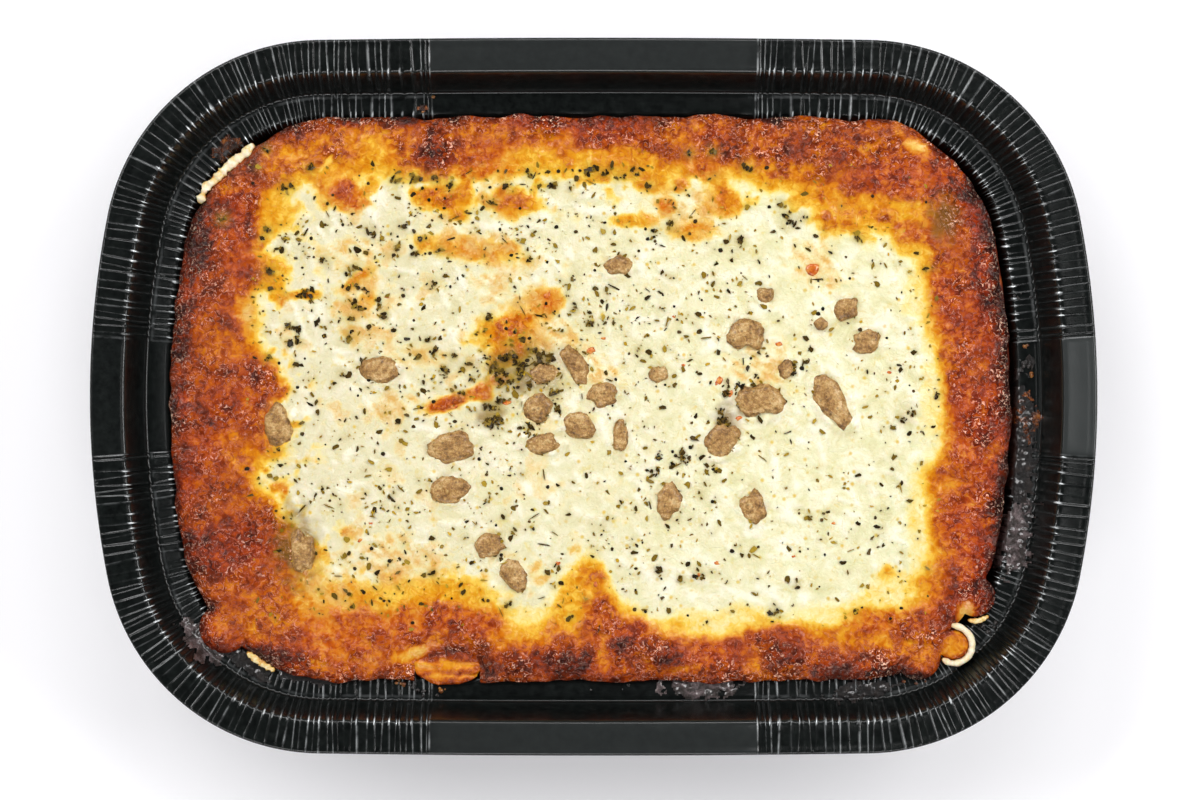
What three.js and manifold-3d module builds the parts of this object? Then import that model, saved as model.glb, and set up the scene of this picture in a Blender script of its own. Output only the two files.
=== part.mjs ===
// A baked lasagne in its rounded, pleated foil tray, made in millimetres with +Z up.
// The origin is on the surface the tray stands on, below the middle of the rim.
import * as THREE from "three";
import { ImprovedNoise } from "three/addons/math/ImprovedNoise.js";
import { mergeVertices } from "three/addons/utils/BufferGeometryUtils.js";
import Module from "manifold-3d";

const wasm = await Module();
wasm.setup();
const { Manifold, Mesh: SolidMesh } = wasm;
const { sin, cos, hypot, abs, exp, PI } = Math;
const radians = THREE.MathUtils.degToRad;

// ---- Driving dimensions ----
const TRAY = {
  length: 300,
  width: 213.8,
  height: 48,
  cornerRadius: 65,
  shortSideTurn: radians(11), // half the angle through which a short side bows
  longSideTurn: radians(0.9), // half the angle through which a long side bows
  foil: 0.6,
  foilAcross: 0.45, // how far the foil's outside lies further out, for even thickness on the walls
  flangeWidth: 10.6,
  lipDrop: 2.2, // the outer edge is turned down this far
  lipWall: 0.9,
  ledgeInset: 15.4, // all insets are measured inwards from the rim's outline
  ledgeHeight: 37,
  ledgeInnerInset: 22.4,
  ledgeInnerHeight: 36,
  footInset: 30.5,
};
// The pleats of the corners, between smooth stretches in the middle of each side. A pleat moves
// the foil outwards on the walls and up on the flange and the ledge.
const PLEATS = {
  perCorner: 26, longSmooth: 95, shortSmooth: 37,
  wallOut: 0.4, footOut: 0.1, flangeUp: 0.3, ledgeUp: 0.2,
};
const GAP = 0.3; // clearance between touching pieces

const BAKE = {
  side: [[32, TRAY.foil + GAP], [26.9, 17], [25.7, 26], [24, 37]], // inset and height, going up
  perQuadrant: 22,
};
const BAKE_TOP = BAKE.side.at(-1)[1];
const CRUST = {
  bottom: BAKE_TOP + GAP,
  edgeThickness: 0.9,
  edgeRound: 2.5, // how far in the edge has risen
  thickness: 2.1,
  dome: 0.7,
  inset: { right: 25, left: 22.8, back: 22.8, front: 21.4 },
  wander: 1.2, // how far the edge wanders in and out
  cell: 7, // spacing of the relief
  browned: 17, // width of the blistered band along the edge
  swell: { size: 24, height: 0.5 },
  folds: { size: 9, height: 1.2 },
  lumps: { size: 17, height: 0.8 },
};
// How much further in each corner of the food lies than its sides.
const CORNER_SHIFT = { backRight: 1.2, backLeft: 3, frontLeft: 1.6, frontRight: 3 };
// Lobes of cheese that run out past that outline.
const LOBES = [
  { x: 108.3, y: -74.6, radius: 3.9 }, { x: 114.6, y: -60, radius: 6 },
  { x: 97.5, y: -78.2, radius: 6.8 }, { x: -111, y: -69.5, radius: 7.5 },
];
// Where the crust has drawn back from the front edge and a pasta sheet shows.
const BARE_PASTA = { x: -44, y: -81.6, halfLength: 9.5, halfWidth: 5, thickness: 1.3 };

// Blisters and swellings of the browned edge: x, y, radius, height.
const BLISTERS = [
  [-47, 75, 7, 1.3], [-78, 62, 9, 0.7], [8, 77, 10, 0.6], [70, 72, 11, 0.8],
  [104, 58, 10, 1.1], [117, 28, 6, 1.3], [113, -20, 8, 1], [96, -76, 7, 1.3],
  [58, -76, 7, 1.4], [22, -77, 8, 1.4], [-8, -73, 8, 1.1], [-27, -77, 8, 1.3],
  [-64, -68, 9, 1.3], [-104, -58, 9, 1.1], [-118, -26, 8, 1.1], [-117, 26, 8, 1.2],
];

// Chunks of sausage on the cheese: x, y, length, width, turn in degrees.
const SAUSAGE = [
  [45.9, 18.3, 11.4, 10.8, 0], [50.1, -1.2, 15.6, 11.8, -8], [38.4, -13.2, 12.8, 9.6, 38],
  [-5.6, 9.4, 13.4, 7.2, -58], [2.6, 0.6, 10.6, 8.2, 12], [-15, 6.6, 9.2, 6.6, 12],
  [-16.6, -3.6, 9.6, 9.8, 70], [-4.6, -8.6, 11, 7.8, -24], [-15.2, -13.9, 11.6, 7.2, 4],
  [-42.4, -15.3, 14.8, 9.8, 4], [-43.3, -27.8, 13.2, 9.4, 10], [8.2, -11.6, 10, 5.2, 84],
  [19.5, 6.7, 6.2, 5.8, 30], [51.6, 30.6, 5.4, 5, 0], [22.4, -31.4, 11.6, 8, 82],
  [47.7, -32.6, 11.8, 8.2, -74], [75.6, 26.2, 8.6, 7, 40], [68.2, 22, 4.8, 4.2, 0],
  [81.9, 16.5, 9.4, 7.8, 12], [71.5, -1.6, 20, 9.6, -60], [-64.1, 7.9, 12.4, 9, -6],
  [-94.7, -8.8, 14, 9, 96], [-31.4, -44.8, 9.6, 7.6, 20], [-23.6, -53.6, 11.4, 7.4, -52],
  [57.6, 8.4, 6.4, 5.2, 60], [7.6, 39.1, 9.8, 6.6, 8], [-87.3, -46.5, 15, 8, 94],
];
const CHUNK = { height: 1.1, rise: 0.13, lump: 0.42, fill: 0.93, segments: 9, rows: 6 };

// Bits of diced tomato that stand a little out of the cheese: x, y, size.
const TOMATO = [
  [-0.7, 13.8, 3.6], [65.6, 38.2, 4.2], [37.6, 4.6, 3.6], [55.6, 15.8, 3.2], [93.4, 48.6, 3.8],
  [-26, -1.6, 3.4],
];
const HERBS = { count: 54, longest: 3.8, shortest: 2.4, thickness: 0.7, reachX: 92, reachY: 58 };

// Pale edges of the pasta sheets that show round the food. The first two are curled, and the
// others follow the crust from one distance along the rim's quadrant to another.
const PASTA_THICKNESS = 1.5;
const CURLS = {
  ruffle_front_right: {
    low: 37.4, high: 40.6,
    path: [[107.2, -68.6], [110.4, -69.4], [113, -71.8], [113.7, -75], [112.6, -78],
      [110, -79.8], [107.2, -80], [104.8, -78.8]],
  },
  crescent_front_right: {
    low: 37.4, high: 39,
    path: [[112.6, -67.2], [115.6, -67.4], [118.8, -66]],
  },
};
const STRIPS = {
  ruffle_back_left: { side: [-1, 1], from: 66, to: 108, low: 37.6, high: 39.8, wave: 0.3 },
  corner_front_left: { side: [-1, -1], from: 106, to: 124, low: 37.5, high: 39.1, wave: 0.2 },
};

// ---- Colours ----
const finish = (color, roughness, metalness = 0) =>
  new THREE.MeshStandardMaterial({ color, roughness, metalness });
const blackFoil = finish(0x16181a, 0.38, 0.4);
const tomatoSauce = finish(0x8e3216, 0.45);
const meltedCheese = finish(0xefe3b4, 0.35);
const cookedSausage = finish(0x9a7048, 0.5);
const boiledPasta = finish(0xf0dfa8, 0.4);

// ---- The rim's outline: bowed sides joined by round corners, all tangent arcs ----
function rimArcs({ length, width, cornerRadius: r, shortSideTurn: p, longSideTurn: q }) {
  // The radii of both side arcs follow from where the corner's centre has to lie.
  const [a, b] = [length / 2 - r, width / 2 - r];
  const det = (1 - cos(p)) * (1 - cos(q)) - sin(p) * sin(q);
  const shortExtra = (a * (1 - cos(q)) - b * sin(q)) / det;
  const longExtra = (b * (1 - cos(p)) - a * sin(p)) / det;
  const corner = { x: longExtra * sin(q), y: shortExtra * sin(p), r };
  const short = { x: length / 2 - shortExtra - r, y: 0, r: shortExtra + r };
  const long = { x: 0, y: width / 2 - longExtra - r, r: longExtra + r };
  return { short, corner, long };
}
const ARCS = rimArcs(TRAY);
const FIRST_JOIN = TRAY.shortSideTurn;
const SECOND_JOIN = PI / 2 - TRAY.longSideTurn;
const ARC_LENGTHS = [
  ARCS.short.r * FIRST_JOIN,
  ARCS.corner.r * (SECOND_JOIN - FIRST_JOIN),
  ARCS.long.r * TRAY.longSideTurn,
];
const QUADRANT_LENGTH = ARC_LENGTHS.reduce((sum, l) => sum + l);

// The arc and direction at a distance along the rim from the middle of a short side.
function rimStation(distance) {
  const [first, second] = ARC_LENGTHS;
  if (distance < first) return { arc: ARCS.short, angle: distance / ARCS.short.r };
  if (distance < first + second)
    return { arc: ARCS.corner, angle: FIRST_JOIN + (distance - first) / ARCS.corner.r };
  return { arc: ARCS.long, angle: SECOND_JOIN + (distance - first - second) / ARCS.long.r };
}

// Stations all the way round, from those of one quadrant. Each holds an arc's centre and radius,
// the outward direction, and how far a pleat stands out (1) or in (-1) there.
function allRound(quadrant) {
  const mirrored = (sx, sy) =>
    quadrant.map(({ distance, pleat = 0 }) => {
      const { arc, angle } = rimStation(distance);
      return {
        x: sx * arc.x, y: sy * arc.y, r: arc.r,
        nx: sx * cos(angle), ny: sy * sin(angle), pleat,
      };
    });
  const back = (list) => list.slice(1, -1).reverse();
  return [
    ...mirrored(1, 1), ...back(mirrored(-1, 1)),
    ...mirrored(-1, -1), ...back(mirrored(1, -1)),
  ];
}

// How far a point lies inside the rim's outline, and the outward direction there.
function rimInset(x, y) {
  const { short, corner, long } = ARCS;
  const [ax, ay] = [abs(x), abs(y)];
  const from = (arc) => {
    const [dx, dy] = [ax - arc.x, ay - arc.y];
    const d = hypot(dx, dy) || 1;
    return { inset: arc.r - d, nx: (Math.sign(x) * dx) / d, ny: (Math.sign(y) * dy) / d, dx, dy };
  };
  const c = from(corner);
  const angle = Math.atan2(c.dy, c.dx);
  if (angle > FIRST_JOIN && angle < SECOND_JOIN) return c;
  const [s, l] = [from(short), from(long)];
  return s.inset < l.inset ? s : l;
}

// ---- Solids ----
const perlin = new ImprovedNoise();
const noise = (x, y, size, seed = 0) => perlin.noise(x / size, y / size, seed + 0.5);

function randomFrom(seed) {
  let state = seed;
  return (low = 0, high = 1) => {
    state = (state * 1664525 + 1013904223) % 4294967296;
    return low + ((high - low) * state) / 4294967296;
  };
}

function solidOf(geometry) {
  geometry.deleteAttribute("normal");
  geometry.deleteAttribute("uv");
  const merged = mergeVertices(geometry, 1e-4);
  const vertProperties = merged.attributes.position.array;
  return new Manifold(new SolidMesh({ numProp: 3, vertProperties, triVerts: merged.index.array }));
}

function geometryOf(solid) {
  const mesh = solid.getMesh();
  const positions = new Float32Array(mesh.numVert * 3);
  for (let i = 0; i < mesh.numVert; i++)
    positions.set(mesh.vertProperties.subarray(i * mesh.numProp, i * mesh.numProp + 3), i * 3);
  const geometry = new THREE.BufferGeometry();
  geometry.setAttribute("position", new THREE.BufferAttribute(positions, 3));
  geometry.setIndex(new THREE.BufferAttribute(mesh.triVerts, 1));
  return geometry;
}

const flat = (points) => points.map((p) => new THREE.Vector2(p.x, p.y));

// A closed skin over rings of points, with the first and the last ring capped.
function loft(rings) {
  const count = rings[0].length;
  const index = [];
  for (let j = 0; j < rings.length - 1; j++)
    for (let i = 0; i < count; i++) {
      const next = (i + 1) % count;
      const [a, b, c, d] = [j * count + i, j * count + next, (j + 1) * count + next,
        (j + 1) * count + i];
      index.push(a, b, c, a, c, d);
    }
  const last = (rings.length - 1) * count;
  for (const [a, b, c] of THREE.ShapeUtils.triangulateShape(flat(rings[0]), []))
    index.push(a, c, b);
  for (const [a, b, c] of THREE.ShapeUtils.triangulateShape(flat(rings.at(-1)), []))
    index.push(last + a, last + b, last + c);
  const geometry = new THREE.BufferGeometry().setFromPoints(rings.flat());
  geometry.setIndex(index);
  return solidOf(geometry);
}

const ringAt = (stations, place) =>
  stations.map((s) => {
    const { inset, z } = place(s);
    const reach = s.r - inset;
    return new THREE.Vector3(s.x + reach * s.nx, s.y + reach * s.ny, z);
  });

// ---- Foil tray ----
function pleatedStations() {
  const start = PLEATS.shortSmooth / 2;
  const end = QUADRANT_LENGTH - PLEATS.longSmooth / 2;
  const steps = PLEATS.perCorner * 2;
  const quadrant = [{ distance: 0 }, { distance: start }];
  for (let k = 1; k < steps; k++)
    quadrant.push({ distance: start + ((end - start) * k) / steps, pleat: k % 2 ? 1 : -1 });
  quadrant.push({ distance: end }, { distance: QUADRANT_LENGTH });
  return allRound(quadrant);
}

function makeTray() {
  const t = TRAY;
  const { wallOut, footOut, flangeUp, ledgeUp } = PLEATS;
  const flangeTop = t.height - flangeUp;
  const stations = pleatedStations();
  // The foil's section: inset, height, and how far a pleat moves it outwards and upwards.
  const section = [
    [t.footInset - t.foilAcross, 0, footOut, 0],
    [t.ledgeInnerInset - t.foilAcross, t.ledgeInnerHeight - t.foil, wallOut, ledgeUp],
    [t.ledgeInset - t.foilAcross, t.ledgeHeight - t.foil, wallOut, ledgeUp],
    [t.flangeWidth - t.foilAcross, flangeTop - t.foil, wallOut, flangeUp],
    [t.lipWall, flangeTop - t.foil, 0, flangeUp],
    [t.lipWall, t.height - t.lipDrop, 0, 0],
    [0, t.height - t.lipDrop, 0, 0],
    [0, flangeTop, 0, flangeUp],
    [t.flangeWidth, flangeTop, wallOut, flangeUp],
    [t.ledgeInset, t.ledgeHeight, wallOut, ledgeUp],
    [t.ledgeInnerInset, t.ledgeInnerHeight, wallOut, ledgeUp],
    [t.footInset, t.foil, footOut, 0],
  ];
  return loft(
    section.map(([inset, z, out, up]) =>
      ringAt(stations, ({ pleat }) => ({ inset: inset - pleat * out, z: z + pleat * up })),
    ),
  );
}

// ---- The food's own outline ----
function cornerShift(nx, ny) {
  const side = `${ny > 0 ? "back" : "front"}${nx > 0 ? "Right" : "Left"}`;
  return CORNER_SHIFT[side] * (2 * nx * ny) ** 2;
}

function crustInset(x, y, nx, ny) {
  const { right, left, back, front } = CRUST.inset;
  const sides = (nx > 0 ? right : left) * nx * nx + (ny > 0 ? back : front) * ny * ny;
  return sides + cornerShift(nx, ny) + CRUST.wander * noise(x, y, 14, 3);
}

function foodStations() {
  const quadrant = [];
  for (let k = 0; k <= BAKE.perQuadrant; k++)
    quadrant.push({ distance: (QUADRANT_LENGTH * k) / BAKE.perQuadrant });
  return allRound(quadrant);
}

function makeBake() {
  const stations = foodStations();
  const level = ([inset, z]) =>
    ringAt(stations, (s) => {
      const uneven = noise(s.x + s.r * s.nx, s.y + s.r * s.ny, 20, z / 9);
      return { inset: inset + abs(uneven) + cornerShift(s.nx, s.ny), z };
    });
  return loft(BAKE.side.map(level));
}

// ---- Cheese crust ----
function crustTop(x, y) {
  const { inset, nx, ny } = rimInset(x, y);
  const inLobes = LOBES.map((lobe) => lobe.radius - hypot(x - lobe.x, y - lobe.y));
  const inside = Math.max(0, inset - crustInset(x, y, nx, ny), ...inLobes);
  const rounded = 1 - exp(-inside / CRUST.edgeRound);
  const edgeBand = exp(-((inside / CRUST.browned) ** 2));
  const dome = CRUST.dome * (1 - (x / (TRAY.length / 2)) ** 2) * (1 - (y / (TRAY.width / 2)) ** 2);
  const wave = ({ size, height }, seed) => height * noise(x, y, size, seed);
  const swell = wave(CRUST.swell, 1);
  const crumple = edgeBand * (wave(CRUST.folds, 5) + wave(CRUST.lumps, 6));
  const blisters = BLISTERS.reduce(
    (sum, [bx, by, radius, height]) =>
      sum + height * exp(-(((x - bx) ** 2 + (y - by) ** 2) / radius ** 2)), 0);
  const relief = CRUST.thickness - CRUST.edgeThickness + dome + swell + crumple + blisters;
  return CRUST.bottom + CRUST.edgeThickness + rounded * Math.max(0, relief);
}

// A block whose top is the relief. It reaches below the crust, so that the prism's flat
// underside is the one that is left.
function reliefBlock() {
  const columns = Math.round((TRAY.length - 2 * TRAY.ledgeInset) / CRUST.cell);
  const rows = Math.round((TRAY.width - 2 * TRAY.ledgeInset) / CRUST.cell);
  const plane = new THREE.PlaneGeometry(columns * CRUST.cell, rows * CRUST.cell, columns, rows);
  const top = plane.attributes.position;
  const count = top.count;
  const points = new Float32Array(count * 6);
  for (let i = 0; i < count; i++) {
    const [x, y] = [top.getX(i), top.getY(i)];
    points.set([x, y, crustTop(x, y)], i * 3);
    points.set([x, y, 0], (count + i) * 3);
  }
  const upper = Array.from(plane.index.array);
  const index = [...upper];
  for (let i = 0; i < upper.length; i += 3)
    index.push(upper[i] + count, upper[i + 2] + count, upper[i + 1] + count);
  const wall = (a, b) => index.push(a, a + count, b, b, a + count, b + count);
  const at = (row, column) => row * (columns + 1) + column;
  for (let c = 0; c < columns; c++) {
    wall(at(0, c + 1), at(0, c));
    wall(at(rows, c), at(rows, c + 1));
  }
  for (let r = 0; r < rows; r++) {
    wall(at(r, 0), at(r + 1, 0));
    wall(at(r + 1, columns), at(r, columns));
  }
  const geometry = new THREE.BufferGeometry();
  geometry.setAttribute("position", new THREE.BufferAttribute(points, 3));
  geometry.setIndex(index);
  return solidOf(geometry);
}

function crustPrism() {
  const stations = foodStations();
  const outline = ringAt(stations, (s) => {
    const reach = s.r - CRUST.inset.back;
    const inset = crustInset(s.x + reach * s.nx, s.y + reach * s.ny, s.nx, s.ny);
    return { inset, z: CRUST.bottom };
  });
  const raised = outline.map((p) => p.clone().setZ(TRAY.height));
  const lobes = LOBES.map(({ x, y, radius }) =>
    uprightOval(x, y, radius, radius, CRUST.bottom, TRAY.height));
  const { x, y, halfLength, halfWidth } = BARE_PASTA;
  const bare = uprightOval(x, y, halfLength + GAP, halfWidth + GAP, 0, TRAY.height);
  const beyond = bare.translate([0, -halfWidth, 0]);
  return Manifold.union([loft([outline, raised]), ...lobes]).subtract(bare).subtract(beyond);
}

function uprightOval(x, y, halfLength, halfWidth, low, high) {
  const oval = new THREE.CylinderGeometry(1, 1, high - low, 16);
  oval.rotateX(PI / 2);
  oval.scale(halfLength, halfWidth, 1);
  oval.translate(x, y, (low + high) / 2);
  return solidOf(oval);
}

const onTopOfChunk = (x, y, clear) =>
  SAUSAGE.some(([cx, cy, length]) => hypot(x - cx, y - cy) < length / 2 + clear);

function herbFlake(x, y, length, turn) {
  const flake = new THREE.CylinderGeometry(length / 2, length / 2.4, HERBS.thickness, 5);
  flake.rotateX(PI / 2);
  flake.scale(1, 0.5, 1);
  flake.rotateZ(turn);
  flake.translate(x, y, crustTop(x, y) + 0.2);
  return solidOf(flake);
}

function makeHerbs() {
  const random = randomFrom(7);
  const flakes = [];
  while (flakes.length < HERBS.count) {
    const [x, y] = [random(-HERBS.reachX, HERBS.reachX), random(-HERBS.reachY, HERBS.reachY)];
    const length = random(HERBS.shortest, HERBS.longest);
    if (!onTopOfChunk(x, y, 2.4)) flakes.push(herbFlake(x, y, length, random(0, PI)));
  }
  return flakes;
}

function makeTomato() {
  return TOMATO.map(([x, y, size], i) => {
    const dice = new THREE.IcosahedronGeometry(size / 2, 0);
    dice.rotateZ(i);
    dice.scale(1, 0.75, 0.7);
    dice.translate(x, y, crustTop(x, y) - 0.2);
    return solidOf(dice);
  });
}

function makeCrust() {
  const crust = reliefBlock().intersect(crustPrism());
  return Manifold.union([crust, ...makeHerbs(), ...makeTomato()]);
}

// ---- Sausage ----
function sausageChunk([x, y, length, width, turn], seed, crust) {
  const chunk = new THREE.SphereGeometry(1, CHUNK.segments, CHUNK.rows);
  chunk.rotateX(PI / 2);
  const p = chunk.attributes.position;
  for (let i = 0; i < p.count; i++) {
    const v = new THREE.Vector3().fromBufferAttribute(p, i);
    // Squared-off and lumpy, as a piece broken from a cooked sausage.
    const square = 1 / (abs(v.x) ** 3 + abs(v.y) ** 3 + abs(v.z) ** 3) ** (1 / 3);
    const lump = 1 + CHUNK.lump * perlin.noise(v.x * 1.6 + seed, v.y * 1.6, v.z * 1.6 + seed);
    v.multiplyScalar(square * lump * CHUNK.fill);
    p.setXYZ(i, v.x, v.y, v.z);
  }
  chunk.scale(length / 2, width / 2, CHUNK.height + CHUNK.rise * width);
  chunk.rotateZ(radians(turn));
  chunk.translate(x, y, crustTop(x, y));
  const pieces = solidOf(chunk).subtract(crust.translate([0, 0, GAP])).decompose();
  return pieces.reduce((largest, piece) => (piece.volume() > largest.volume() ? piece : largest));
}

// ---- Pasta edges ----
function stripPath({ side: [sx, sy], from, to, low, high, wave }) {
  const steps = Math.round((to - from) / 7);
  const path = [];
  for (let k = 0; k <= steps; k++) {
    const { arc, angle } = rimStation(from + ((to - from) * k) / steps);
    const [nx, ny] = [sx * cos(angle), sy * sin(angle)];
    const at = (inset) => [sx * arc.x + (arc.r - inset) * nx, sy * arc.y + (arc.r - inset) * ny];
    const edge = crustInset(...at(CRUST.inset.back), nx, ny);
    const z = (low + high) / 2 + wave * (k % 2 ? 1 : -1);
    path.push(new THREE.Vector3(...at(edge - GAP - PASTA_THICKNESS / 2), z));
  }
  return path;
}

function pastaEdge(path, low, high, neighbours) {
  const line = new THREE.CatmullRomCurve3(path);
  const [tall, thin] = [(high - low) / 2, PASTA_THICKNESS / 2];
  const section = new THREE.Shape();
  section.moveTo(-tall, -thin * 0.6);
  section.lineTo(-tall * 0.8, thin);
  section.lineTo(tall, thin * 0.7);
  section.lineTo(tall * 0.9, -thin);
  section.closePath();
  const edge = new THREE.ExtrudeGeometry(section, {
    steps: path.length * 3, bevelEnabled: false, extrudePath: line,
  });
  return neighbours.reduce((solid, near) => solid.subtract(near), solidOf(edge));
}

// The sheet that shows where the crust has drawn back.
function barePasta() {
  const { x, y, halfLength, halfWidth, thickness } = BARE_PASTA;
  return uprightOval(x, y, halfLength, halfWidth, CRUST.bottom, CRUST.bottom + thickness);
}

// ---- Assembly ----
const meal = new THREE.Group();
meal.name = "foil_tray_lasagne";

function addPiece(name, solid, material) {
  const mesh = new THREE.Mesh(geometryOf(solid), material);
  mesh.name = name;
  meal.add(mesh);
}

const crust = makeCrust();
addPiece("foil_tray", makeTray(), blackFoil);
addPiece("pasta_bake", makeBake(), tomatoSauce);
addPiece("cheese_crust", crust, meltedCheese);
SAUSAGE.forEach((chunk, i) => {
  const name = `sausage_${String(i + 1).padStart(2, "0")}`;
  addPiece(name, sausageChunk(chunk, i * 3.7, crust), cookedSausage);
});
const grown = [[GAP, 0], [-GAP, 0], [0, GAP], [0, -GAP]].map(([x, y]) => crust.translate([x, y, 0]));
for (const [name, { path, low, high }] of Object.entries(CURLS)) {
  const curl = path.map(([x, y]) => new THREE.Vector3(x, y, (low + high) / 2));
  addPiece(`pasta_${name}`, pastaEdge(curl, low, high, grown), boiledPasta);
}
for (const [name, strip] of Object.entries(STRIPS))
  addPiece(`pasta_${name}`, pastaEdge(stripPath(strip), strip.low, strip.high, grown), boiledPasta);
addPiece("pasta_sheet_front", barePasta(), boiledPasta);

export default meal;
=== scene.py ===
# A baked lasagne in its black foil tray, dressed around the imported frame.
# Shapes are worked out in millimetres and turned to metres when a mesh is made.
import math
import random

import bmesh
import bpy
import numpy as np
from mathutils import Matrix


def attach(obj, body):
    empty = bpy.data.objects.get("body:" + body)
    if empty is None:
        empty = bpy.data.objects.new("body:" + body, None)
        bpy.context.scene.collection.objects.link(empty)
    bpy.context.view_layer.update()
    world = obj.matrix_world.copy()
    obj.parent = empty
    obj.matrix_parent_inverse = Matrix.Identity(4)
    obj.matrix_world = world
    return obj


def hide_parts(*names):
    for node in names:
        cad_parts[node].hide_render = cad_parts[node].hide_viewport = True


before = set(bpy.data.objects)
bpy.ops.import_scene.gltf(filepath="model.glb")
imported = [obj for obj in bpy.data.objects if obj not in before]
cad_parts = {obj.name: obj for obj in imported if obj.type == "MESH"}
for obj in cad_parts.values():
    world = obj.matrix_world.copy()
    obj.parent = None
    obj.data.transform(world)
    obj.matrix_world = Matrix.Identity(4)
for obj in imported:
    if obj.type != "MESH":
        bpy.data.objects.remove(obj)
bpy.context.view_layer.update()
mm = 0.001
print("frame loaded:", len(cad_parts), "nodes")


def linear(code):  # "#rrggbb" to linear colour
    parts = [int(code[i:i + 2], 16) / 255 for i in (1, 3, 5)]
    return [c / 12.92 if c <= 0.04045 else ((c + 0.055) / 1.055) ** 2.4 for c in parts] + [1.0]


def giveSettings(node, settings):  # a setting that is another node's output becomes a link
    for key, value in settings.items():
        if key == "stops":  # colour ramp: position, and sRGB hex or a level of light
            while len(node.color_ramp.elements) < len(value):
                node.color_ramp.elements.new(0.5)
            for element, (place, tint) in zip(node.color_ramp.elements, value):
                element.position = place
                element.color = linear(tint) if isinstance(tint, str) else (tint, tint, tint, 1)
        elif key in ("From", "To"):  # both ends of a range
            giveSettings(node, {key + " Min": value[0], key + " Max": value[1]})
        elif key == "grain":  # size of the pattern in mm
            node.inputs["Scale"].default_value = 1 / (value * mm)
        elif isinstance(value, bpy.types.NodeSocket):
            node.id_data.links.new(value, node.inputs[key])
        elif isinstance(key, str) and hasattr(node, key):
            setattr(node, key, value)
        else:
            node.inputs[key].default_value = linear(value) if isinstance(value, str) else value


def addNode(tree, kind, settings, output=0):
    node = tree.nodes.new("ShaderNode" + kind)
    giveSettings(node, settings)
    return node.outputs[output]


def newMaterial(name, settings):
    material = bpy.data.materials.new(name)
    material.use_nodes = True
    tree = material.node_tree
    shader = tree.nodes["Principled BSDF"]
    giveSettings(shader, settings)
    return material, tree, shader, addNode(tree, "TexCoord", {}, "Object")


def mottledFood(name, settings, pattern, stops, relief=None):  # one noise gives the tones and the relief
    material, tree, shader, place = newMaterial(name, settings)
    noise = addNode(tree, "TexNoise", {"Vector": place, **pattern})
    giveSettings(shader, {"Base Color": addNode(tree, "ValToRGB", {"Fac": noise, "stops": stops})})
    if relief:  # strength, and depth in mm
        bump = {"Height": noise, "Strength": relief[0], "Distance": relief[1] * mm}
        giveSettings(shader, {"Normal": addNode(tree, "Bump", bump)})
    return material


def addMesh(name, shape, material, smooth=True):  # a shape is its points, its faces and values per point
    points, faces, attributes = shape if len(shape) == 3 else (*shape, {})
    mesh = bpy.data.meshes.new(name)
    mesh.from_pydata((np.asarray(points, float) * mm).tolist(), [], faces)
    for key, values in attributes.items():
        layer = mesh.attributes.new(key, "FLOAT", "POINT")
        layer.data.foreach_set("value", np.asarray(values, np.float32))
    mesh.polygons.foreach_set("use_smooth", [smooth] * len(mesh.polygons))
    mesh.materials.append(material)
    mesh.update()
    piece = bpy.data.objects.new(name, mesh)
    bpy.context.scene.collection.objects.link(piece)
    return piece


def addPiece(name, shape, material, slot, *nodes, smooth=True):
    piece = addMesh(name, shape, material, smooth)
    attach(piece, "root")
    if nodes:
        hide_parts(*nodes)


def quads(*corners):  # four rows of point numbers to a list of faces
    return np.stack(corners, 1).tolist()


def stackRings(rings):  # a closed skin over rings of points, from the bottom up
    rows = np.arange(len(rings) * len(rings[0])).reshape(len(rings), -1)
    faces = [rows[0][::-1].tolist(), rows[-1].tolist()]
    for a, b in zip(rows, rows[1:]):
        faces += quads(a, np.roll(a, -1), np.roll(b, -1), b)
    return np.concatenate(rings), faces


def wholeCells(keep):  # the grid's cells that have all four corners
    return keep[:-1, :-1] & keep[1:, :-1] & keep[:-1, 1:] & keep[1:, 1:]


def cellFaces(solid, first=0):  # faces of those cells, numbered from first, and the grid points they use
    rows, columns = solid.shape
    index = np.arange((rows + 1) * (columns + 1)).reshape(rows + 1, columns + 1)
    cells = np.stack([index[:-1, :-1], index[:-1, 1:], index[1:, 1:], index[1:, :-1]], -1)[solid]
    used, numbers = np.unique(cells, return_inverse=True)
    return numbers.reshape(cells.shape) + first, used


def roundBall(subdivisions):
    ball = bmesh.new()
    bmesh.ops.create_icosphere(ball, subdivisions=subdivisions, radius=1)
    points = np.array([vert.co[:] for vert in ball.verts])
    faces = [[vert.index for vert in face.verts] for face in ball.faces]
    ball.free()
    return points, faces


def hashed(ix, iy, seed):
    n = (ix * 374761393 + iy * 668265263 + seed * 2246822519) & 0xFFFFFFFF
    n = ((n ^ (n >> 13)) * 1274126177) & 0xFFFFFFFF
    return (n ^ (n >> 16)) / 0xFFFFFFFF


def noiseCells(x, y, size):
    x, y = np.asarray(x, float) / size, np.asarray(y, float) / size
    return x, y, np.floor(x).astype(np.int64), np.floor(y).astype(np.int64)


def softNoise(x, y, size, seed):  # between about -1 and 1, changing over a size in mm
    x, y, ix, iy = noiseCells(x, y, size)
    fx, fy = x - ix, y - iy
    u, v = fx * fx * (3 - 2 * fx), fy * fy * (3 - 2 * fy)
    total = 0
    for dx in (0, 1):
        for dy in (0, 1):
            angle = hashed(ix + dx, iy + dy, seed) * 2 * math.pi
            weight = (u if dx else 1 - u) * (v if dy else 1 - v)
            total += weight * (np.cos(angle) * (fx - dx) + np.sin(angle) * (fy - dy))
    return 1.5 * total


def layered(x, y, *layers):  # soft noises added up: amount, size in mm and seed of each
    return sum(amount * softNoise(x, y, size, seed) for amount, size, seed in layers)


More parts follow.
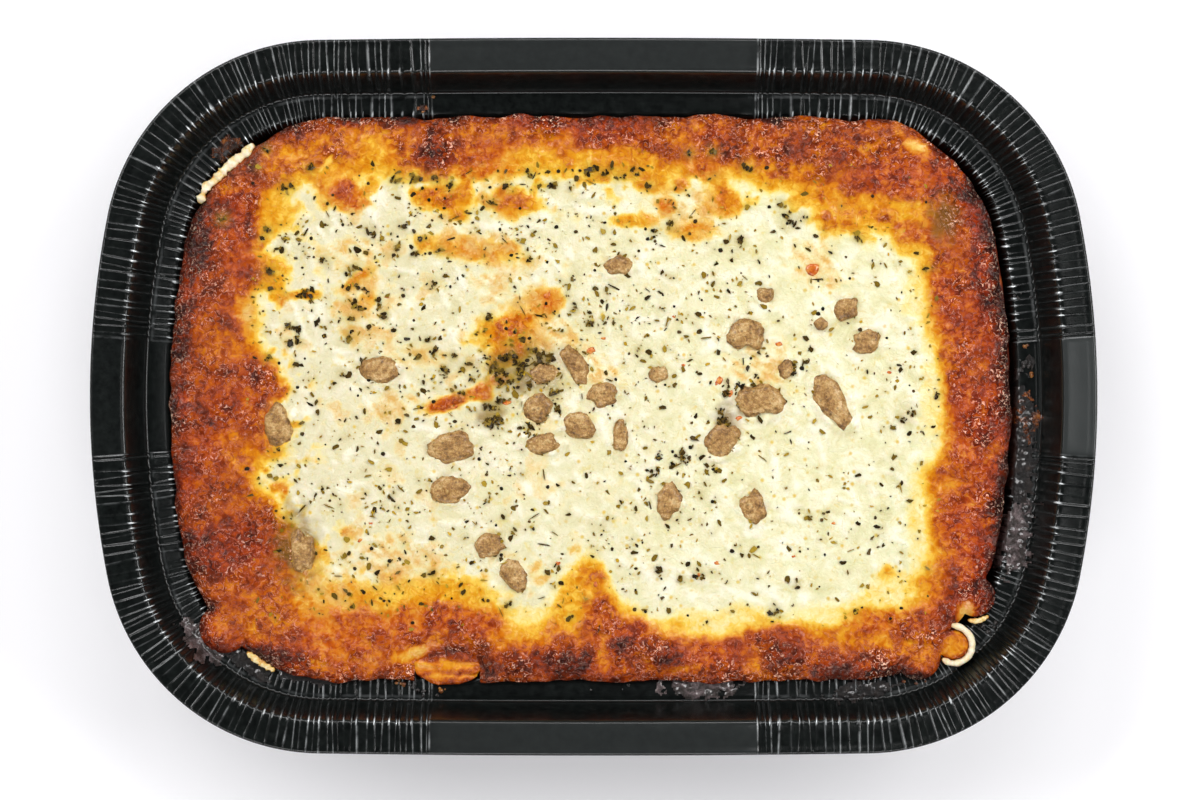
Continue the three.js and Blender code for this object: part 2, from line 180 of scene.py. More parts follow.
def bubbles(x, y, size, seed):  # 1 in the middle of each round bump, 0 between them, and a value per bump
    x, y, ix, iy = noiseCells(x, y, size)
    nearest, own = np.full(x.shape, 9.0), np.zeros(x.shape)
    for dx in (-1, 0, 1):
        for dy in (-1, 0, 1):
            jx = ix + dx + hashed(ix + dx, iy + dy, seed)
            jy = iy + dy + hashed(ix + dx, iy + dy, seed + 1)
            distance = np.hypot(x - jx, y - jy)
            closer = distance < nearest
            nearest = np.where(closer, distance, nearest)
            own = np.where(closer, hashed(ix + dx, iy + dy, seed + 2), own)
    return np.clip(1 - (nearest / 0.75) ** 2, 0, 1), own


def between(low, high, value):  # smooth step
    t = np.clip((value - low) / (high - low), 0, 1)
    return t * t * (3 - 2 * t)

# The rim's outline: a short side, a corner and a long side, each an arc.
rim = {
    "length": 300, "width": 213.8, "height": 48, "cornerRadius": 65,
    "shortTurn": math.radians(11), "longTurn": math.radians(0.9),
}


def rimArcs():  # centre x, centre y and radius of the short side, the corner and the long side
    r, p, q = rim["cornerRadius"], rim["shortTurn"], rim["longTurn"]
    a, b = rim["length"] / 2 - r, rim["width"] / 2 - r
    det = (1 - math.cos(p)) * (1 - math.cos(q)) - math.sin(p) * math.sin(q)
    short = (a * (1 - math.cos(q)) - b * math.sin(q)) / det
    long = (b * (1 - math.cos(p)) - a * math.sin(p)) / det
    return np.array([
        [a - short, 0, short + r],
        [long * math.sin(q), short * math.sin(p), r],
        [0, b - long, long + r],
    ])


arcs = rimArcs()
joins = (rim["shortTurn"], math.pi / 2 - rim["longTurn"])
arcLengths = (arcs[0][2] * joins[0], arcs[1][2] * (joins[1] - joins[0]), arcs[2][2] * rim["longTurn"])
quarter = sum(arcLengths)


def rimStations(distance):  # distance runs all round, anticlockwise from the middle of the right side
    turn, along = np.divmod(np.asarray(distance, float), quarter)
    turn = turn.astype(int) % 4
    along = np.where(turn % 2 == 1, quarter - along, along)
    sx = np.where((turn == 1) | (turn == 2), -1, 1)
    sy = np.where(turn >= 2, -1, 1)
    second = arcLengths[0] + arcLengths[1]
    which = (along >= arcLengths[0]).astype(int) + (along >= second).astype(int)
    starts = np.array([0, arcLengths[0], second])[which]
    angle = np.array([0, joins[0], joins[1]])[which] + (along - starts) / arcs[which, 2]
    return sx * arcs[which, 0], sy * arcs[which, 1], arcs[which, 2], sx * np.cos(angle), sy * np.sin(angle)


def rimPoint(distance, inset):
    cx, cy, r, nx, ny = rimStations(distance)
    return cx + (r - inset) * nx, cy + (r - inset) * ny


def rimInset(x, y):  # how far inside the outline, and the outward direction there
    ax, ay = np.abs(x), np.abs(y)
    dx = [ax - arc[0] for arc in arcs]
    dy = [ay - arc[1] for arc in arcs]
    reach = [np.maximum(np.hypot(dx[k], dy[k]), 1e-6) for k in range(3)]
    inset = [arcs[k][2] - reach[k] for k in range(3)]
    angle = np.arctan2(dy[1], dx[1])
    side = np.where(inset[0] < inset[2], 0, 2)
    which = np.where((angle > joins[0]) & (angle < joins[1]), 1, side)
    pick = lambda values: np.choose(which, values)
    nx = np.sign(x) * pick([dx[k] / reach[k] for k in range(3)])
    ny = np.sign(y) * pick([dy[k] / reach[k] for k in range(3)])
    return pick(inset), nx, ny

view = {"lens": 85, "sensor": 36, "frameWidthMm": 356.8, "xMm": 1.9, "yMm": -1.0}


def addCamera():
    data = bpy.data.cameras.new("camera")
    data.lens, data.sensor_width = view["lens"], view["sensor"]
    camera = bpy.data.objects.new("camera", data)
    height = view["frameWidthMm"] * view["lens"] / view["sensor"] + rim["height"]
    camera.location = (view["xMm"] * mm, view["yMm"] * mm, height * mm)  # straight above, looking down
    bpy.context.scene.collection.objects.link(camera)
    bpy.context.scene.camera = camera


studio = {
    "floor": "#f7f6f9", "floorGlow": 0.12, "floorSize": 4.0, "floorDrop": 0.2,
    # sky brightness by height, 0 at the horizon and 1 overhead: grey walls and a dark ceiling
    "sky": [(0.0, 0.2), (0.4, 0.22), (0.7, 0.18), (0.86, 0.06), (0.96, 0.02), (1.0, 0.02)],
    # long soft boxes round the table: bearing, height angle, distance, length, depth and power
    "lights": [(138, 46, 1.6, 1.5, 0.36, 15), (18, 44, 1.6, 1.3, 0.32, 13), (262, 46, 1.6, 1.3, 0.32, 10),
               (75, 52, 1.6, 0.8, 0.25, 5), (0, 78, 1.8, 0.14, 0.24, 0.3)],
}


def addStudio():
    world = bpy.data.worlds.new("tent")
    bpy.context.scene.world = world
    world.use_nodes = True
    tree = world.node_tree
    direction = addNode(tree, "TexCoord", {}, "Generated")
    height = addNode(tree, "SeparateXYZ", {"Vector": direction}, "Z")
    sky = addNode(tree, "ValToRGB", {"Fac": height, "stops": studio["sky"]})
    tree.links.new(sky, tree.nodes["Background"].inputs["Color"])
    for k, (bearing, rise, distance, length, depth, power) in enumerate(studio["lights"]):
        data = bpy.data.lights.new(f"light{k}", "AREA")
        data.shape, data.size, data.size_y, data.energy = "RECTANGLE", length, depth, power
        lamp = bpy.data.objects.new(f"light{k}", data)
        bearing, rise = math.radians(bearing), math.radians(rise)
        flat = distance * math.cos(rise)
        lamp.location = (flat * math.cos(bearing), flat * math.sin(bearing), distance * math.sin(rise))
        lamp.rotation_euler = (-lamp.location).to_track_quat("-Z", "Y").to_euler()
        bpy.context.scene.collection.objects.link(lamp)
    half = studio["floorSize"] / 2 / mm
    drop = -studio["floorDrop"]
    corners = [(-half, -half, drop), (half, -half, drop), (half, half, drop), (-half, half, drop)]
    paper = newMaterial("matte white paper", {
        "Base Color": studio["floor"], "Roughness": 0.9,
        "Emission Color": studio["floor"], "Emission Strength": studio["floorGlow"]})[0]
    addMesh("floor", (corners, [(0, 1, 2, 3)]), paper)
    bpy.context.scene.view_settings.view_transform = "Standard"


addCamera()
addStudio()
print("camera and studio ready")

# The tray: thin foil, smooth in the middle of each side and pleated round the corners.
foil = {
    "thickness": 0.35, "across": 0.26, "curl": 0.5, "seed": 11,
    "pleatsPerCorner": 68, "longSmooth": 98, "shortSmooth": 36,
    "edges": (9.8, 21.6), "ledgeLine": 16.3,  # insets where creases glint, and of the pressed line along the ledge, painted as a highlight
    "flangeLift": 0.28, "wallOut": 0.34, "shoulderOut": 0.5, "smoothLift": 0.22,
    # the foil's upper and inner face: inset, height, share of the pleat outwards, upwards, crease wear
    "section": [
        (0.15, 45.85, 0, 0, 0.3), (0, 46.2, 0, 0, 0.4), (0, 46.9, 0, 0.3, 0.6), (0.2, 47.38, 0, 0.5, 0.8),
        (0.7, 47.6, 0, 0.6, 0.5), (1.4, 47.54, 0, 0.8, 0.3), (2.1, 47.38, 0, 1, 0.55),
        (3.2, 47.42, 0, 1, 0.6), (5.0, 47.5, 0, 1, 0.5), (7.0, 47.52, 0, 1, 0.6), (8.6, 47.5, 0.2, 1, 0.8),
        (9.6, 47.4, 0.6, 1, 1), (10.2, 47.15, 1, 0.8, 1), (10.6, 46.6, 1, 0.3, 0.8),
        (11.0, 45.7, 0.9, 0, 0.2), (12.0, 43.4, 0.8, 0, 0), (13.4, 40.4, 0.8, 0, 0), (14.7, 37.8, 0.8, 0, 0),
        (15.2, 37.0, 0.6, 0, 0.2), (15.7, 36.82, 0.4, 0.2, 0.5), (16.3, 36.95, 0.3, 0.5, 0.9),
        (17.0, 36.82, 0.3, 0.8, 0.7), (18.6, 36.56, 0.3, 1, 0.7), (20.4, 36.3, 0.5, 1, 0.8),
        (21.5, 36.1, 0.8, 0.9, 1), (22.2, 35.75, 1, 0.5, 1), (22.7, 35.0, 1, 0.1, 0.6),
        (23.4, 32.6, 1, 0, 0.1), (25.2, 24.2, 0.8, 0, 0), (27.2, 15.4, 0.6, 0, 0), (29.3, 5.6, 0.3, 0, 0),
        (30.0, 2.4, 0.2, 0, 0), (31.0, 1.0, 0.1, 0, 0), (32.8, 0.42, 0, 0, 0), (45, 0.38, 0, 0, 0),
        (70, 0.38, 0, 0, 0),
    ],
}


def pleatStations():  # distance round the rim, bulge, crease, lift, painted glint dash, lean and rubbed crease
    random.seed(foil["seed"])
    rows = []
    for corner in range(4):
        first, last = foil["shortSmooth"] / 2, quarter - foil["longSmooth"] / 2
        if corner % 2:
            first, last = foil["longSmooth"] / 2, quarter - foil["shortSmooth"] / 2
        start, end = corner * quarter + first, corner * quarter + last
        pitches = [random.uniform(0.5, 1.5) for pleat in range(foil["pleatsPerCorner"])]
        scale = (end - start) / sum(pitches)
        place = start
        for k, pitch in enumerate(pitches):
            width, depth, rubbed = pitch * scale, random.uniform(0.3, 1), random.random() ** 2.2
            middle = random.uniform(0.35, 0.65)
            lean = random.uniform(-0.7, 0.7) * min(1, k / 2, (len(pitches) - 1 - k) / 2)
            glint = random.choice(((0.66,), (0.9, 1), (1, 1.1), (1.34,)))
            for u in (0.1, 0.5, 0.66, 0.9, 1, 1.1, 1.34, 1.6):
                at = u * middle if u <= 1 else middle + (u - 1) * (1 - middle)
                crease = math.exp(-(abs(u - 1) / 0.09) ** 1.6)
                bulge = (1 - 2 * math.exp(-(abs(u - 1) / 0.35) ** 1.2)) * (0.5 + 0.5 * depth)
                # painted glint: a bright dash on some pleats
                glintDash = random.uniform(0.7, 1.8) if u in glint and k % 6 else 0
                sharp = crease * depth ** 1.6
                rows.append((place + at * width, bulge, sharp, 0, glintDash, lean, crease * rubbed))
            place += width
        gap = 2 * (foil["shortSmooth"] / 2 if corner % 2 else foil["longSmooth"] / 2)
        rows += [(end + 0.05, 0, 0.5, 0, 0, 0, 0.5), (end + 0.5, 0, 0, 0.7, 0, 0, 0)]
        rows += [(end + gap * k / 24, 0, 0, 1, 0, 0, 0) for k in range(1, 24)]
        rows += [(end + gap - 0.5, 0, 0, 1, 0, 0, 0), (end + gap - 0.05, 0, 0.5, 0, 0, 0, 0.5)]
    rows.sort()
    return np.array(rows).T


def makeTray():
    distance, bulge, crease, lift, glintDash, lean, rubbed = pleatStations()
    count, section = len(distance), foil["section"]
    rings, wear, sheen = [], [], []
    for outside in (False, True):
        for inset, z, out, up, rub in section[::-1] if outside else section:
            slant = lean * between(24, 10, inset) * (inset / 10 - 0.5)
            cx, cy, r, nx, ny = rimStations(np.mod(distance + slant, 4 * quarter))
            wall = foil["shoulderOut"] if 9 < inset < 11 or 21 < inset < 23 else foil["wallOut"]
            reach = r - inset + bulge * out * wall
            height = z + up * (crease * foil["flangeLift"] + lift * foil["smoothLift"])
            if outside:
                reach += -foil["curl"] if inset < 1 else foil["across"]
                height = height - foil["thickness"] if z > 0.5 else np.zeros(count)
            height += 0.06 * softNoise(distance, np.full(count, inset), 9, 3) * up
            rings.append(np.stack([cx + reach * nx, cy + reach * ny, height], 1))
            edges = sum(math.exp(-((inset - middle) / 0.6) ** 2) for middle in foil["edges"])
            # painted highlight along the ledge's pressed line
            ledge = 0.05 * (inset == foil["ledgeLine"]) * (1 - lift)
            # real crease wear, painted brighter on the front and back sides, plus the painted glints
            wear.append(0.8 * rubbed * rub * (0.2 + 0.8 * ny ** 2) + glintDash * edges + ledge)
            # painted reflection on the smooth flange, strongest on the right side
            sheen.append(lift * (0.4 + 0.35 * nx) * (0.6 < inset < 9.8) * (not outside))
    rows = np.arange(len(rings) * count).reshape(-1, count)
    floor, faces = len(section) - 1, []
    for j, (a, b) in enumerate(zip(rows, rows[1:])):
        if j != floor:
            faces += quads(a, b, np.roll(b, -1), np.roll(a, -1))
    faces += [rows[floor][::-1].tolist(), rows[floor + 1].tolist()]
    faces += quads(rows[-1], rows[0], np.roll(rows[0], -1), np.roll(rows[-1], -1))
    return np.concatenate(rings), faces, {"wear": np.concatenate(wear), "sheen": np.concatenate(sheen)}


def lacqueredFoil():
    # Aluminium foil with a heat-set black lacquer, drawn and pleated: a dull even sheen, thin bright
    # lines where the creases have rubbed to bare metal. Painted highlights lie on these lines as well:
    # glint dashes at the flange's inner shoulder and the ledge, a bright line along the ledge, and
    # crease lines painted brighter on the front and back sides.
    material, tree, shader, place = newMaterial("black lacquered foil", {"IOR": 1.5})
    wear = addNode(tree, "Attribute", {"attribute_name": "wear"}, "Fac")
    mottle = addNode(tree, "TexNoise", {"Vector": place, "grain": 2.2, "Detail": 5, "Roughness": 0.65})
    handled = addNode(tree, "TexNoise", {"Vector": place, "grain": 3.5, "Detail": 3})
    patchy = addNode(tree, "MapRange", {"Value": handled, "From": (0.38, 0.62), "To": (0.1, 1.6)})
    wornAndGlinting = addNode(tree, "Math", {"operation": "MULTIPLY", "use_clamp": True, 0: wear, 1: patchy})
    lacquer = addNode(tree, "ValToRGB", {"Fac": mottle, "stops": [(0.3, "#060808"), (0.7, "#131716")]})
    # Painted reflection: the smooth stretches of flange are drawn greyer, most on the right side, as if
    # catching the light there.
    sheen = addNode(tree, "Attribute", {"attribute_name": "sheen"}, "Fac")
    lacquer = addNode(tree, "Mix", {"data_type": "RGBA", 0: sheen, 6: lacquer, 7: "#3a3d3d"}, 2)
    giveSettings(shader, {
        "Base Color": addNode(tree, "Mix", {"data_type": "RGBA", 0: wornAndGlinting, 6: lacquer, 7: "#e4e8ea"}, 2),
        "Metallic": addNode(tree, "Math", {"operation": "MULTIPLY", 0: wornAndGlinting, 1: 0.3}),
        "Roughness": addNode(tree, "MapRange", {"Value": mottle, "To": (0.14, 0.3)}),
        "Normal": addNode(tree, "Bump", {"Height": mottle, "Strength": 0.25, "Distance": 0.1 * mm})})
    return material


addPiece("foilTray", makeTray(), lacqueredFoil(), "black_foil", "foil_tray")
print("tray ready")

# The skin of cheese and browned sauce on the bake.
crust = {
    "bottom": 37.3, "edgeThickness": 0.9, "edgeRound": 2.5, "thickness": 2.1, "dome": 0.7,
    "insetRight": 25, "insetLeft": 22.8, "insetBack": 22.8, "insetFront": 21.4,
    "wander": 1.2, "browned": 17, "cell": 0.74, "gridLength": 258, "gridWidth": 176,
    "cornerShift": {(1, 1): 1.2, (-1, 1): 3, (-1, -1): 1.6, (1, -1): 3},
    "lobes": [(108.3, -74.6, 4.6), (114.6, -60, 6), (97.5, -78.2, 6.8), (-111, -69.5, 7.5)],
    "barePasta": (-44, -81.6, 9.8, 5.3),  # x, y, half length and half width of the notch
    "skirt": [(0.22, 0.72), (0.1, 0.2), (-0.5, -0.35)],  # below the edge: outwards, and above the underside
    # x, y, radius, height of the large swellings along the edge
    "blisters": [
        (-47, 75, 7, 1.3), (-78, 62, 9, 0.7), (8, 77, 10, 0.6), (70, 72, 11, 0.8), (104, 58, 10, 1.1),
        (117, 28, 6, 1.3), (113, -20, 8, 1.0), (96, -76, 7, 1.3), (58, -76, 7, 1.4), (22, -77, 8, 1.4),
        (-8, -73, 8, 1.1), (-27, -77, 8, 1.3), (-64, -68, 9, 1.3), (-104, -58, 9, 1.1), (-118, -26, 8, 1.1),
        (-117, 26, 8, 1.2),
    ],
}
# Where the cheese stays white: its outline, anticlockwise from the right, x and y.
whiteOutline = [
    (98, 30), (100, 20), (101.5, 6), (102.5, -7), (104.5, -12), (100, -22), (96.5, -29), (95.5, -37),
    (99, -47), (95.5, -54), (87, -54.5), (75.6, -62), (65.6, -64), (58.7, -66.5), (44.4, -62), (37.6, -66),
    (26, -66), (18, -67.3), (9.7, -63), (3.4, -56.5), (-1, -48.5), (-5.5, -53), (-13, -64), (-18.3, -68.5),
    (-23.6, -68), (-27.8, -64), (-41.5, -58.4), (-52.2, -58.4), (-63.8, -61), (-70.6, -57.5), (-77.5, -60.5),
    (-82.8, -57), (-83.7, -45.5), (-90, -40), (-94.4, -32), (-100, -27), (-102.4, -21), (-93.8, -17.4),
    (-91.7, -10), (-97.7, -2.5), (-93.8, 2), (-97, 8.7), (-101.2, 17.7), (-102.4, 30), (-93, 33), (-93.5, 40),
    (-99.7, 44), (-98.6, 54), (-94.7, 59.5), (-87.3, 64.4), (-78.3, 66.7), (-65.9, 67.3), (-57.5, 65),
    (-45.6, 66.7), (-33.7, 66.7), (-21.9, 68.5), (-10, 67.3), (1.9, 66.7), (13.8, 65.6), (31.7, 67.3),
    (45, 65.6), (52, 62.6), (61.4, 61.4), (66.7, 54.9), (75, 50.4), (88.7, 47.4), (95.6, 41),
]
crustTones = {  # browning, redness, then ovals: x, y, half length, half width and, if turned, degrees
    "charred": (0.79, 0.7, [
        (-89.9, 78.8, 2.7, 2.4), (-72.5, 82.7, 4.2, 1.5), (-118.5, 46.1, 4.2, 10.8, -8),
        (-95.7, -78.4, 9.6, 3.3, -8), (10.3, -74.5, 4.5, 2.4), (23.5, -77.2, 5.4, 3.3),
        (57.7, -76.9, 5.1, 3.3), (73.9, -82.6, 8.4, 2.7), (88.3, -82, 7.2, 1.8), (96.8, -84.7, 6, 1.8),
        (-46.7, 74, 5.7, 6.6), (-58.7, 82.7, 4.5, 1.8), (53.5, 83.3, 2.7, 1.2), (74.2, 72.2, 3, 2.7),
        (124.1, 33.5, 1.8, 18, 4), (125.3, 5, 1.8, 13.2), (118.1, 26, 1.8, 6), (112.1, 60.2, 3, 2.1),
        (-33.5, 75.2, 3.6, 1.5), (-6.2, -80.2, 4.8, 2.4), (-18.5, -79, 9, 3), (-115.8, -49.3, 4.8, 2.7),
    ]),
    "darkRed": (0.65, 0.5, [
        (-110, 53, 4.5, 8), (-86.3, 80.9, 6.6, 1.5), (-123.3, 20.6, 2.7, 9), (-117.6, 9.8, 1.5, 2.1),
        (-99, 6.2, 1.8, 1.5), (-117, -63.1, 6, 1.2, -25), (-53.6, -70, 4.5, 3.3), (-45.8, -63.1, 2.7, 1.2),
        (-39.5, -70, 4.2, 1.8), (-43.1, -76.6, 7.8, 1.5), (81.4, -77.5, 8.4, 1.8), (106.4, -67.6, 2.7, 6.6),
        (99.5, -70, 8.4, 2.4, 20), (39.4, 74.3, 4.8, 2.4), (63.4, 76.7, 5.4, 2.1), (114.8, 34.7, 2.7, 2.1),
        # the oval at 112.4, -59.2 is a painted shadow at the foot of the raised lobe beside it
        (112.4, -59.2, 2.7, 1.2), (121.7, -39.4, 2.4, 5.4), (76, 79.7, 3, 1.8), (-26, 44.6, 2.7, 1.2),
        (81.1, 77.3, 2.1, 1.2), (-28.1, -81.4, 4.2, 1.8),
    ]),
    "crimson": (0.6, 0.85, [
        (-107.1, 56, 6, 8.4), (-123.6, -3.4, 2.1, 7.8), (-124.2, -25, 4.8, 6.6), (-111, -44.5, 14.4, 7.8),
        (3.4, 79.7, 13.5, 5.4), (34.9, 79.1, 4.8, 1.8), (117.2, 44, 5.1, 13.2, 3), (117.5, -60.1, 7.2, 4.8),
        (117.2, -50.2, 2.7, 5.1), (12.1, -70, 5.4, 2.7), (35.8, -76.9, 7.8, 2.7), (-19.1, 81.5, 9, 1.5),
        (90.4, 66.5, 13.5, 5.4), (-116.1, -73, 6.6, 6), (-122.4, 32, 3.6, 4.2),
    ]),
    "redOrange": (0.51, 0.7, [
        (-106.8, 40.4, 4.2, 8.4), (-79.1, -71.2, 9.6, 7.8), (-46.1, -67.6, 19.8, 4.2), (0.1, -64.6, 3.6, 7.2),
        (46.6, -72.7, 3.3, 2.7), (84.4, -67.3, 7.8, 3.3), (56.5, -71.2, 7.2, 2.4), (94.6, 49.1, 3.3, 3),
        (93.1, 60.2, 7.2, 2.1), (-32, 70.4, 7.8, 4.2), (33.1, 69.5, 5.1, 3), (-14.6, 29, 4.8, 3.6),
        (-100.8, 2.6, 6, 7.2), (-75.5, 60.8, 6.3, 4.2), (-32.6, 0.8, 3, 1.8), (114.2, -5.5, 7.8, 21),
        (-116.4, -14.8, 5.4, 6), (21.4, 57.2, 2.4, 2.7), (-42.5, -1.3, 9, 1.8, 22), (105.5, 28.4, 6, 9),
        (-25, 13, 6.5, 3.2, 25), (-28, 5, 4, 1.6, 10),
    ]),
    "amber": (0.45, 0.1, [
        (-83.6, 75, 18, 4.2, 8), (-109.2, 65, 6, 2.4, 35), (-95.7, 71.6, 4.5, 3.6), (-116.1, 17, 3.6, 5.4),
        (-106.5, -15.4, 4.8, 3.3), (-107.4, -25.6, 4.8, 5.7), (-104.7, -67.6, 7.5, 3.9),
        (-82.7, -81.4, 2.7, 3.3), (-46.1, -72.1, 2.4, 1.8), (-31.7, -74.8, 4.2, 2.1), (-1.7, -56.5, 4.5, 4.5),
        (47.5, -82, 2.7, 2.7), (24.7, -82.3, 8.4, 1.2), (98.9, -56.2, 5.1, 2.4), (88.3, -53.2, 2.4, 2.1),
        (59.5, -83.5, 4.5, 1.8), (97.4, -77.2, 6, 3.9), (79, -74.2, 7.2, 2.1), (-57.8, 77.3, 5.4, 3.6),
        (-33.8, 79.7, 9.9, 3), (-19.1, 78.2, 9, 2.1), (-44.9, 59.6, 8.4, 3.3), (-22.7, 58.7, 5.7, 3.9),
        (-39.8, 54.8, 2.4, 2.4), (30.1, 82.4, 3.3, 1.8), (24.7, 78.2, 3.9, 2.1), (39.1, 58.4, 5.1, 3.9),
        (29.5, 50, 5.7, 2.7), (11.8, 52.7, 5.4, 1.8), (17.5, 63.8, 4.2, 2.4), (26.2, 63.5, 2.4, 1.8),
        (71.5, 60.5, 5.1, 2.7), (72.4, 52.7, 6, 3), (61, 68.6, 9.9, 2.4), (88.9, 80.6, 10.8, 2.4),
        (111.8, 42.5, 1.5, 9), (105.2, 12.8, 2.4, 4.8), (114.5, 8.6, 3.3, 4.5), (119, -15.7, 4.5, 2.1),
        (107, -24.4, 8.1, 3.9), (-85.4, 30.8, 3.4, 1.3), (-68, 29, 3.5, 2, 60), (-26.6, 20.6, 9, 4.5, 20),
        (-37.1, 44.3, 13.8, 3, -6), (-71, 35.2, 5.4, 1.5, 38), (-120.6, -56.8, 2.7, 4.2),
    ]),
    "golden": (0.31, 0.0, [
        (108.6, -74.6, 4.6, 4.6), (-95.1, 54.5, 5.4, 6), (-79.1, -59.8, 6.6, 3.6), (-46.1, -58, 17.4, 3.6),
        (-20.6, -69.4, 6.3, 2.1), (-43.7, -80.8, 8.4, 1.5), (-6.5, -63.4, 3.6, 7.8), (94.6, 55.1, 5.4, 2.7),
        (95.5, 44, 4.8, 1.8), (-66.5, 74.6, 3.9, 6), (16.3, 70.4, 2.7, 2.1), (-0.5, 72.5, 7.2, 1.5),
        (10.3, 71.6, 4.2, 3.3), (-17.3, 71, 7.2, 3.9), (85, 57.5, 9, 2.4),
    ]),
    "buttery": (0.15, 0.0, [
        (35.5, -69.4, 10, 2.6), (40.3, -66, 10, 2.6), (69.7, -65.4, 7, 3.6), (86, -61, 8, 3.2),
        (90.1, -57, 5.4, 5), (97, -38, 3, 14), (101, 0, 3, 16), (96, 30, 4, 8), (-20, -66, 6, 3),
    ]),
    "peach": (0.21, 0.9, [
        (-104.7, 25.4, 2.7, 5.5), (-57.5, -49.6, 13.8, 4.8), (-62, -45, 9, 4, 20), (-72.2, 43.4, 10.2, 4.5),
        (-68, 30, 8, 8), (-12, 18, 7, 5, 30), (-3, 15, 5, 3), (-52, 12, 8, 4), (-60, -2, 10, 3, 15),
        (70, 35, 6, 3), (-32.3, 35, 5.4, 2.7), (-23, 28.7, 8.4, 3.6), (-74.9, 25.4, 2.7, 4.2),
        (-69.8, 19.7, 6, 1.8), (64.9, 40.4, 6.6, 6), (28.9, 55.4, 9, 6.6), (-34.1, 45.5, 12, 5),
        (49.9, 7.4, 9.6, 9), (0.4, 6.5, 9, 4.8), (-79.1, -58, 7.2, 6),
    ]),
}
oliveStains = [  # sauce and herbs showing olive through the cheese
    (-89.3, -44.5, 5.1, 9), (104.9, 53.3, 3.9, 5.4), (-21, 8, 9, 6), (-31, -5.5, 3.5, 3), (40, -8, 3, 5),
]
paleRidges = [  # bare pasta and cheese that stand up pale: x, y, half length, half width, turn, height
    (-53.6, -77.0, 5.2, 1.9, 20, 0.9), (111.8, -65.4, 2.8, 4.2, -15, 0.2), (96.5, 75.2, 3.4, 1.6, -10, 0.8),
    (-80.4, 69.6, 0.7, 3.2, -35, 0.4),
]


def cosSin(degrees):
    return math.cos(math.radians(degrees)), math.sin(math.radians(degrees))


def turned(x, y, cx, cy, halfLength, halfWidth, turn=0):  # 1 on an oval's edge, less inside
    c, s = cosSin(turn)
    return np.hypot(((x - cx) * c + (y - cy) * s) / halfLength, ((y - cy) * c - (x - cx) * s) / halfWidth)


def outlineDistance(x, y, outline):  # signed distance to a closed outline, positive outside
    ends = np.array(outline)
    nearest, crossings = np.full(x.shape, 1e9), np.zeros(x.shape, int)
    for (ax, ay), (bx, by) in zip(ends, np.roll(ends, -1, 0)):
        dx, dy = bx - ax, by - ay
        t = np.clip(((x - ax) * dx + (y - ay) * dy) / (dx * dx + dy * dy), 0, 1)
        nearest = np.minimum(nearest, np.hypot(x - ax - t * dx, y - ay - t * dy))
        crossings += ((ay > y) != (by > y)) & (x < ax + (y - ay) * dx / (dy or 1e-9))
    return np.where(crossings % 2 == 1, -nearest, nearest)


def cornerShift(nx, ny):  # how much further in the crust and the bake lie at each corner
    shift = np.zeros(np.shape(nx))
    for (sx, sy), amount in crust["cornerShift"].items():
        shift = np.where((nx * sx > 0) & (ny * sy > 0), amount, shift)
    return shift * (2 * nx * ny) ** 2


def crustInside(x, y):  # how far inside the crust's edge
    inset, nx, ny = rimInset(x, y)
    sides = np.where(nx > 0, crust["insetRight"], crust["insetLeft"]) * nx ** 2
    sides += np.where(ny > 0, crust["insetBack"], crust["insetFront"]) * ny ** 2
    wander = layered(x, y, (crust["wander"], 14, 3), (0.55, 5, 4))
    inside = inset - sides - cornerShift(nx, ny) - wander
    for lx, ly, radius in crust["lobes"]:
        inside = np.maximum(inside, radius - np.hypot(x - lx, y - ly))
    bx, by, halfLength, halfWidth = crust["barePasta"]
    notch = np.hypot((x - bx) / halfLength, np.maximum(y - by, 0) / halfWidth) - 1
    return np.minimum(inside, notch * halfWidth)


# Crumbled sausage: x, y, length, width, turn in degrees.
sausage = {
    "height": 1.1, "rise": 0.13, "sunk": 0.45, "seed": 100,
    "chunks": [
        (45.9, 18.3, 11.4, 10.8, 0), (50.1, -1.2, 15.6, 11.8, -8), (38.4, -13.2, 12.8, 9.6, 38),
        (-5.6, 9.4, 13.4, 7.2, -58), (2.6, 0.6, 10.6, 8.2, 12), (-15, 6.6, 9.2, 6.6, 12),
        (-16.6, -3.6, 9.6, 9.8, 70), (-4.6, -8.6, 11, 7.8, -24), (-15.2, -13.9, 11.6, 7.2, 4),
        (-42.4, -15.3, 14.8, 9.8, 4), (-43.3, -27.8, 13.2, 9.4, 10), (8.2, -11.6, 10, 5.2, 84),
        (19.5, 6.7, 6.2, 5.8, 30), (51.6, 30.6, 5.4, 5, 0), (22.4, -31.4, 11.6, 8, 82),
        (47.7, -32.6, 11.8, 8.2, -74), (75.6, 26.2, 8.6, 7, 40), (68.2, 22, 4.8, 4.2, 0),
        (81.9, 16.5, 9.4, 7.8, 12), (71.5, -1.6, 20, 9.6, -60), (-64.1, 7.9, 12.4, 9, -6),
        (-94.7, -8.8, 14, 9, 96), (-31.4, -44.8, 9.6, 7.6, 20), (-23.6, -53.6, 11.4, 7.4, -52),
        (57.6, 8.4, 6.4, 5.2, 60), (7.6, 39.1, 9.8, 6.6, 8), (-87.3, -46.5, 15, 8, 94),
    ],
}


def chunkDistance(x, y):  # how far outside the nearest piece of sausage
    nearest = np.full(np.shape(x), 99.0)
    for cx, cy, length, width, turn in sausage["chunks"]:
        ring = turned(x, y, cx, cy, length / 2, width / 2, turn) - 1
        nearest = np.minimum(nearest, ring * width / 2)
    return nearest


def ovalCover(x, y, ragged, oval):  # 1 inside an oval, fading out past its edge
    return np.exp(-np.maximum(turned(x, y, *oval[:5]) + ragged - 0.25, 0) ** 2.6)


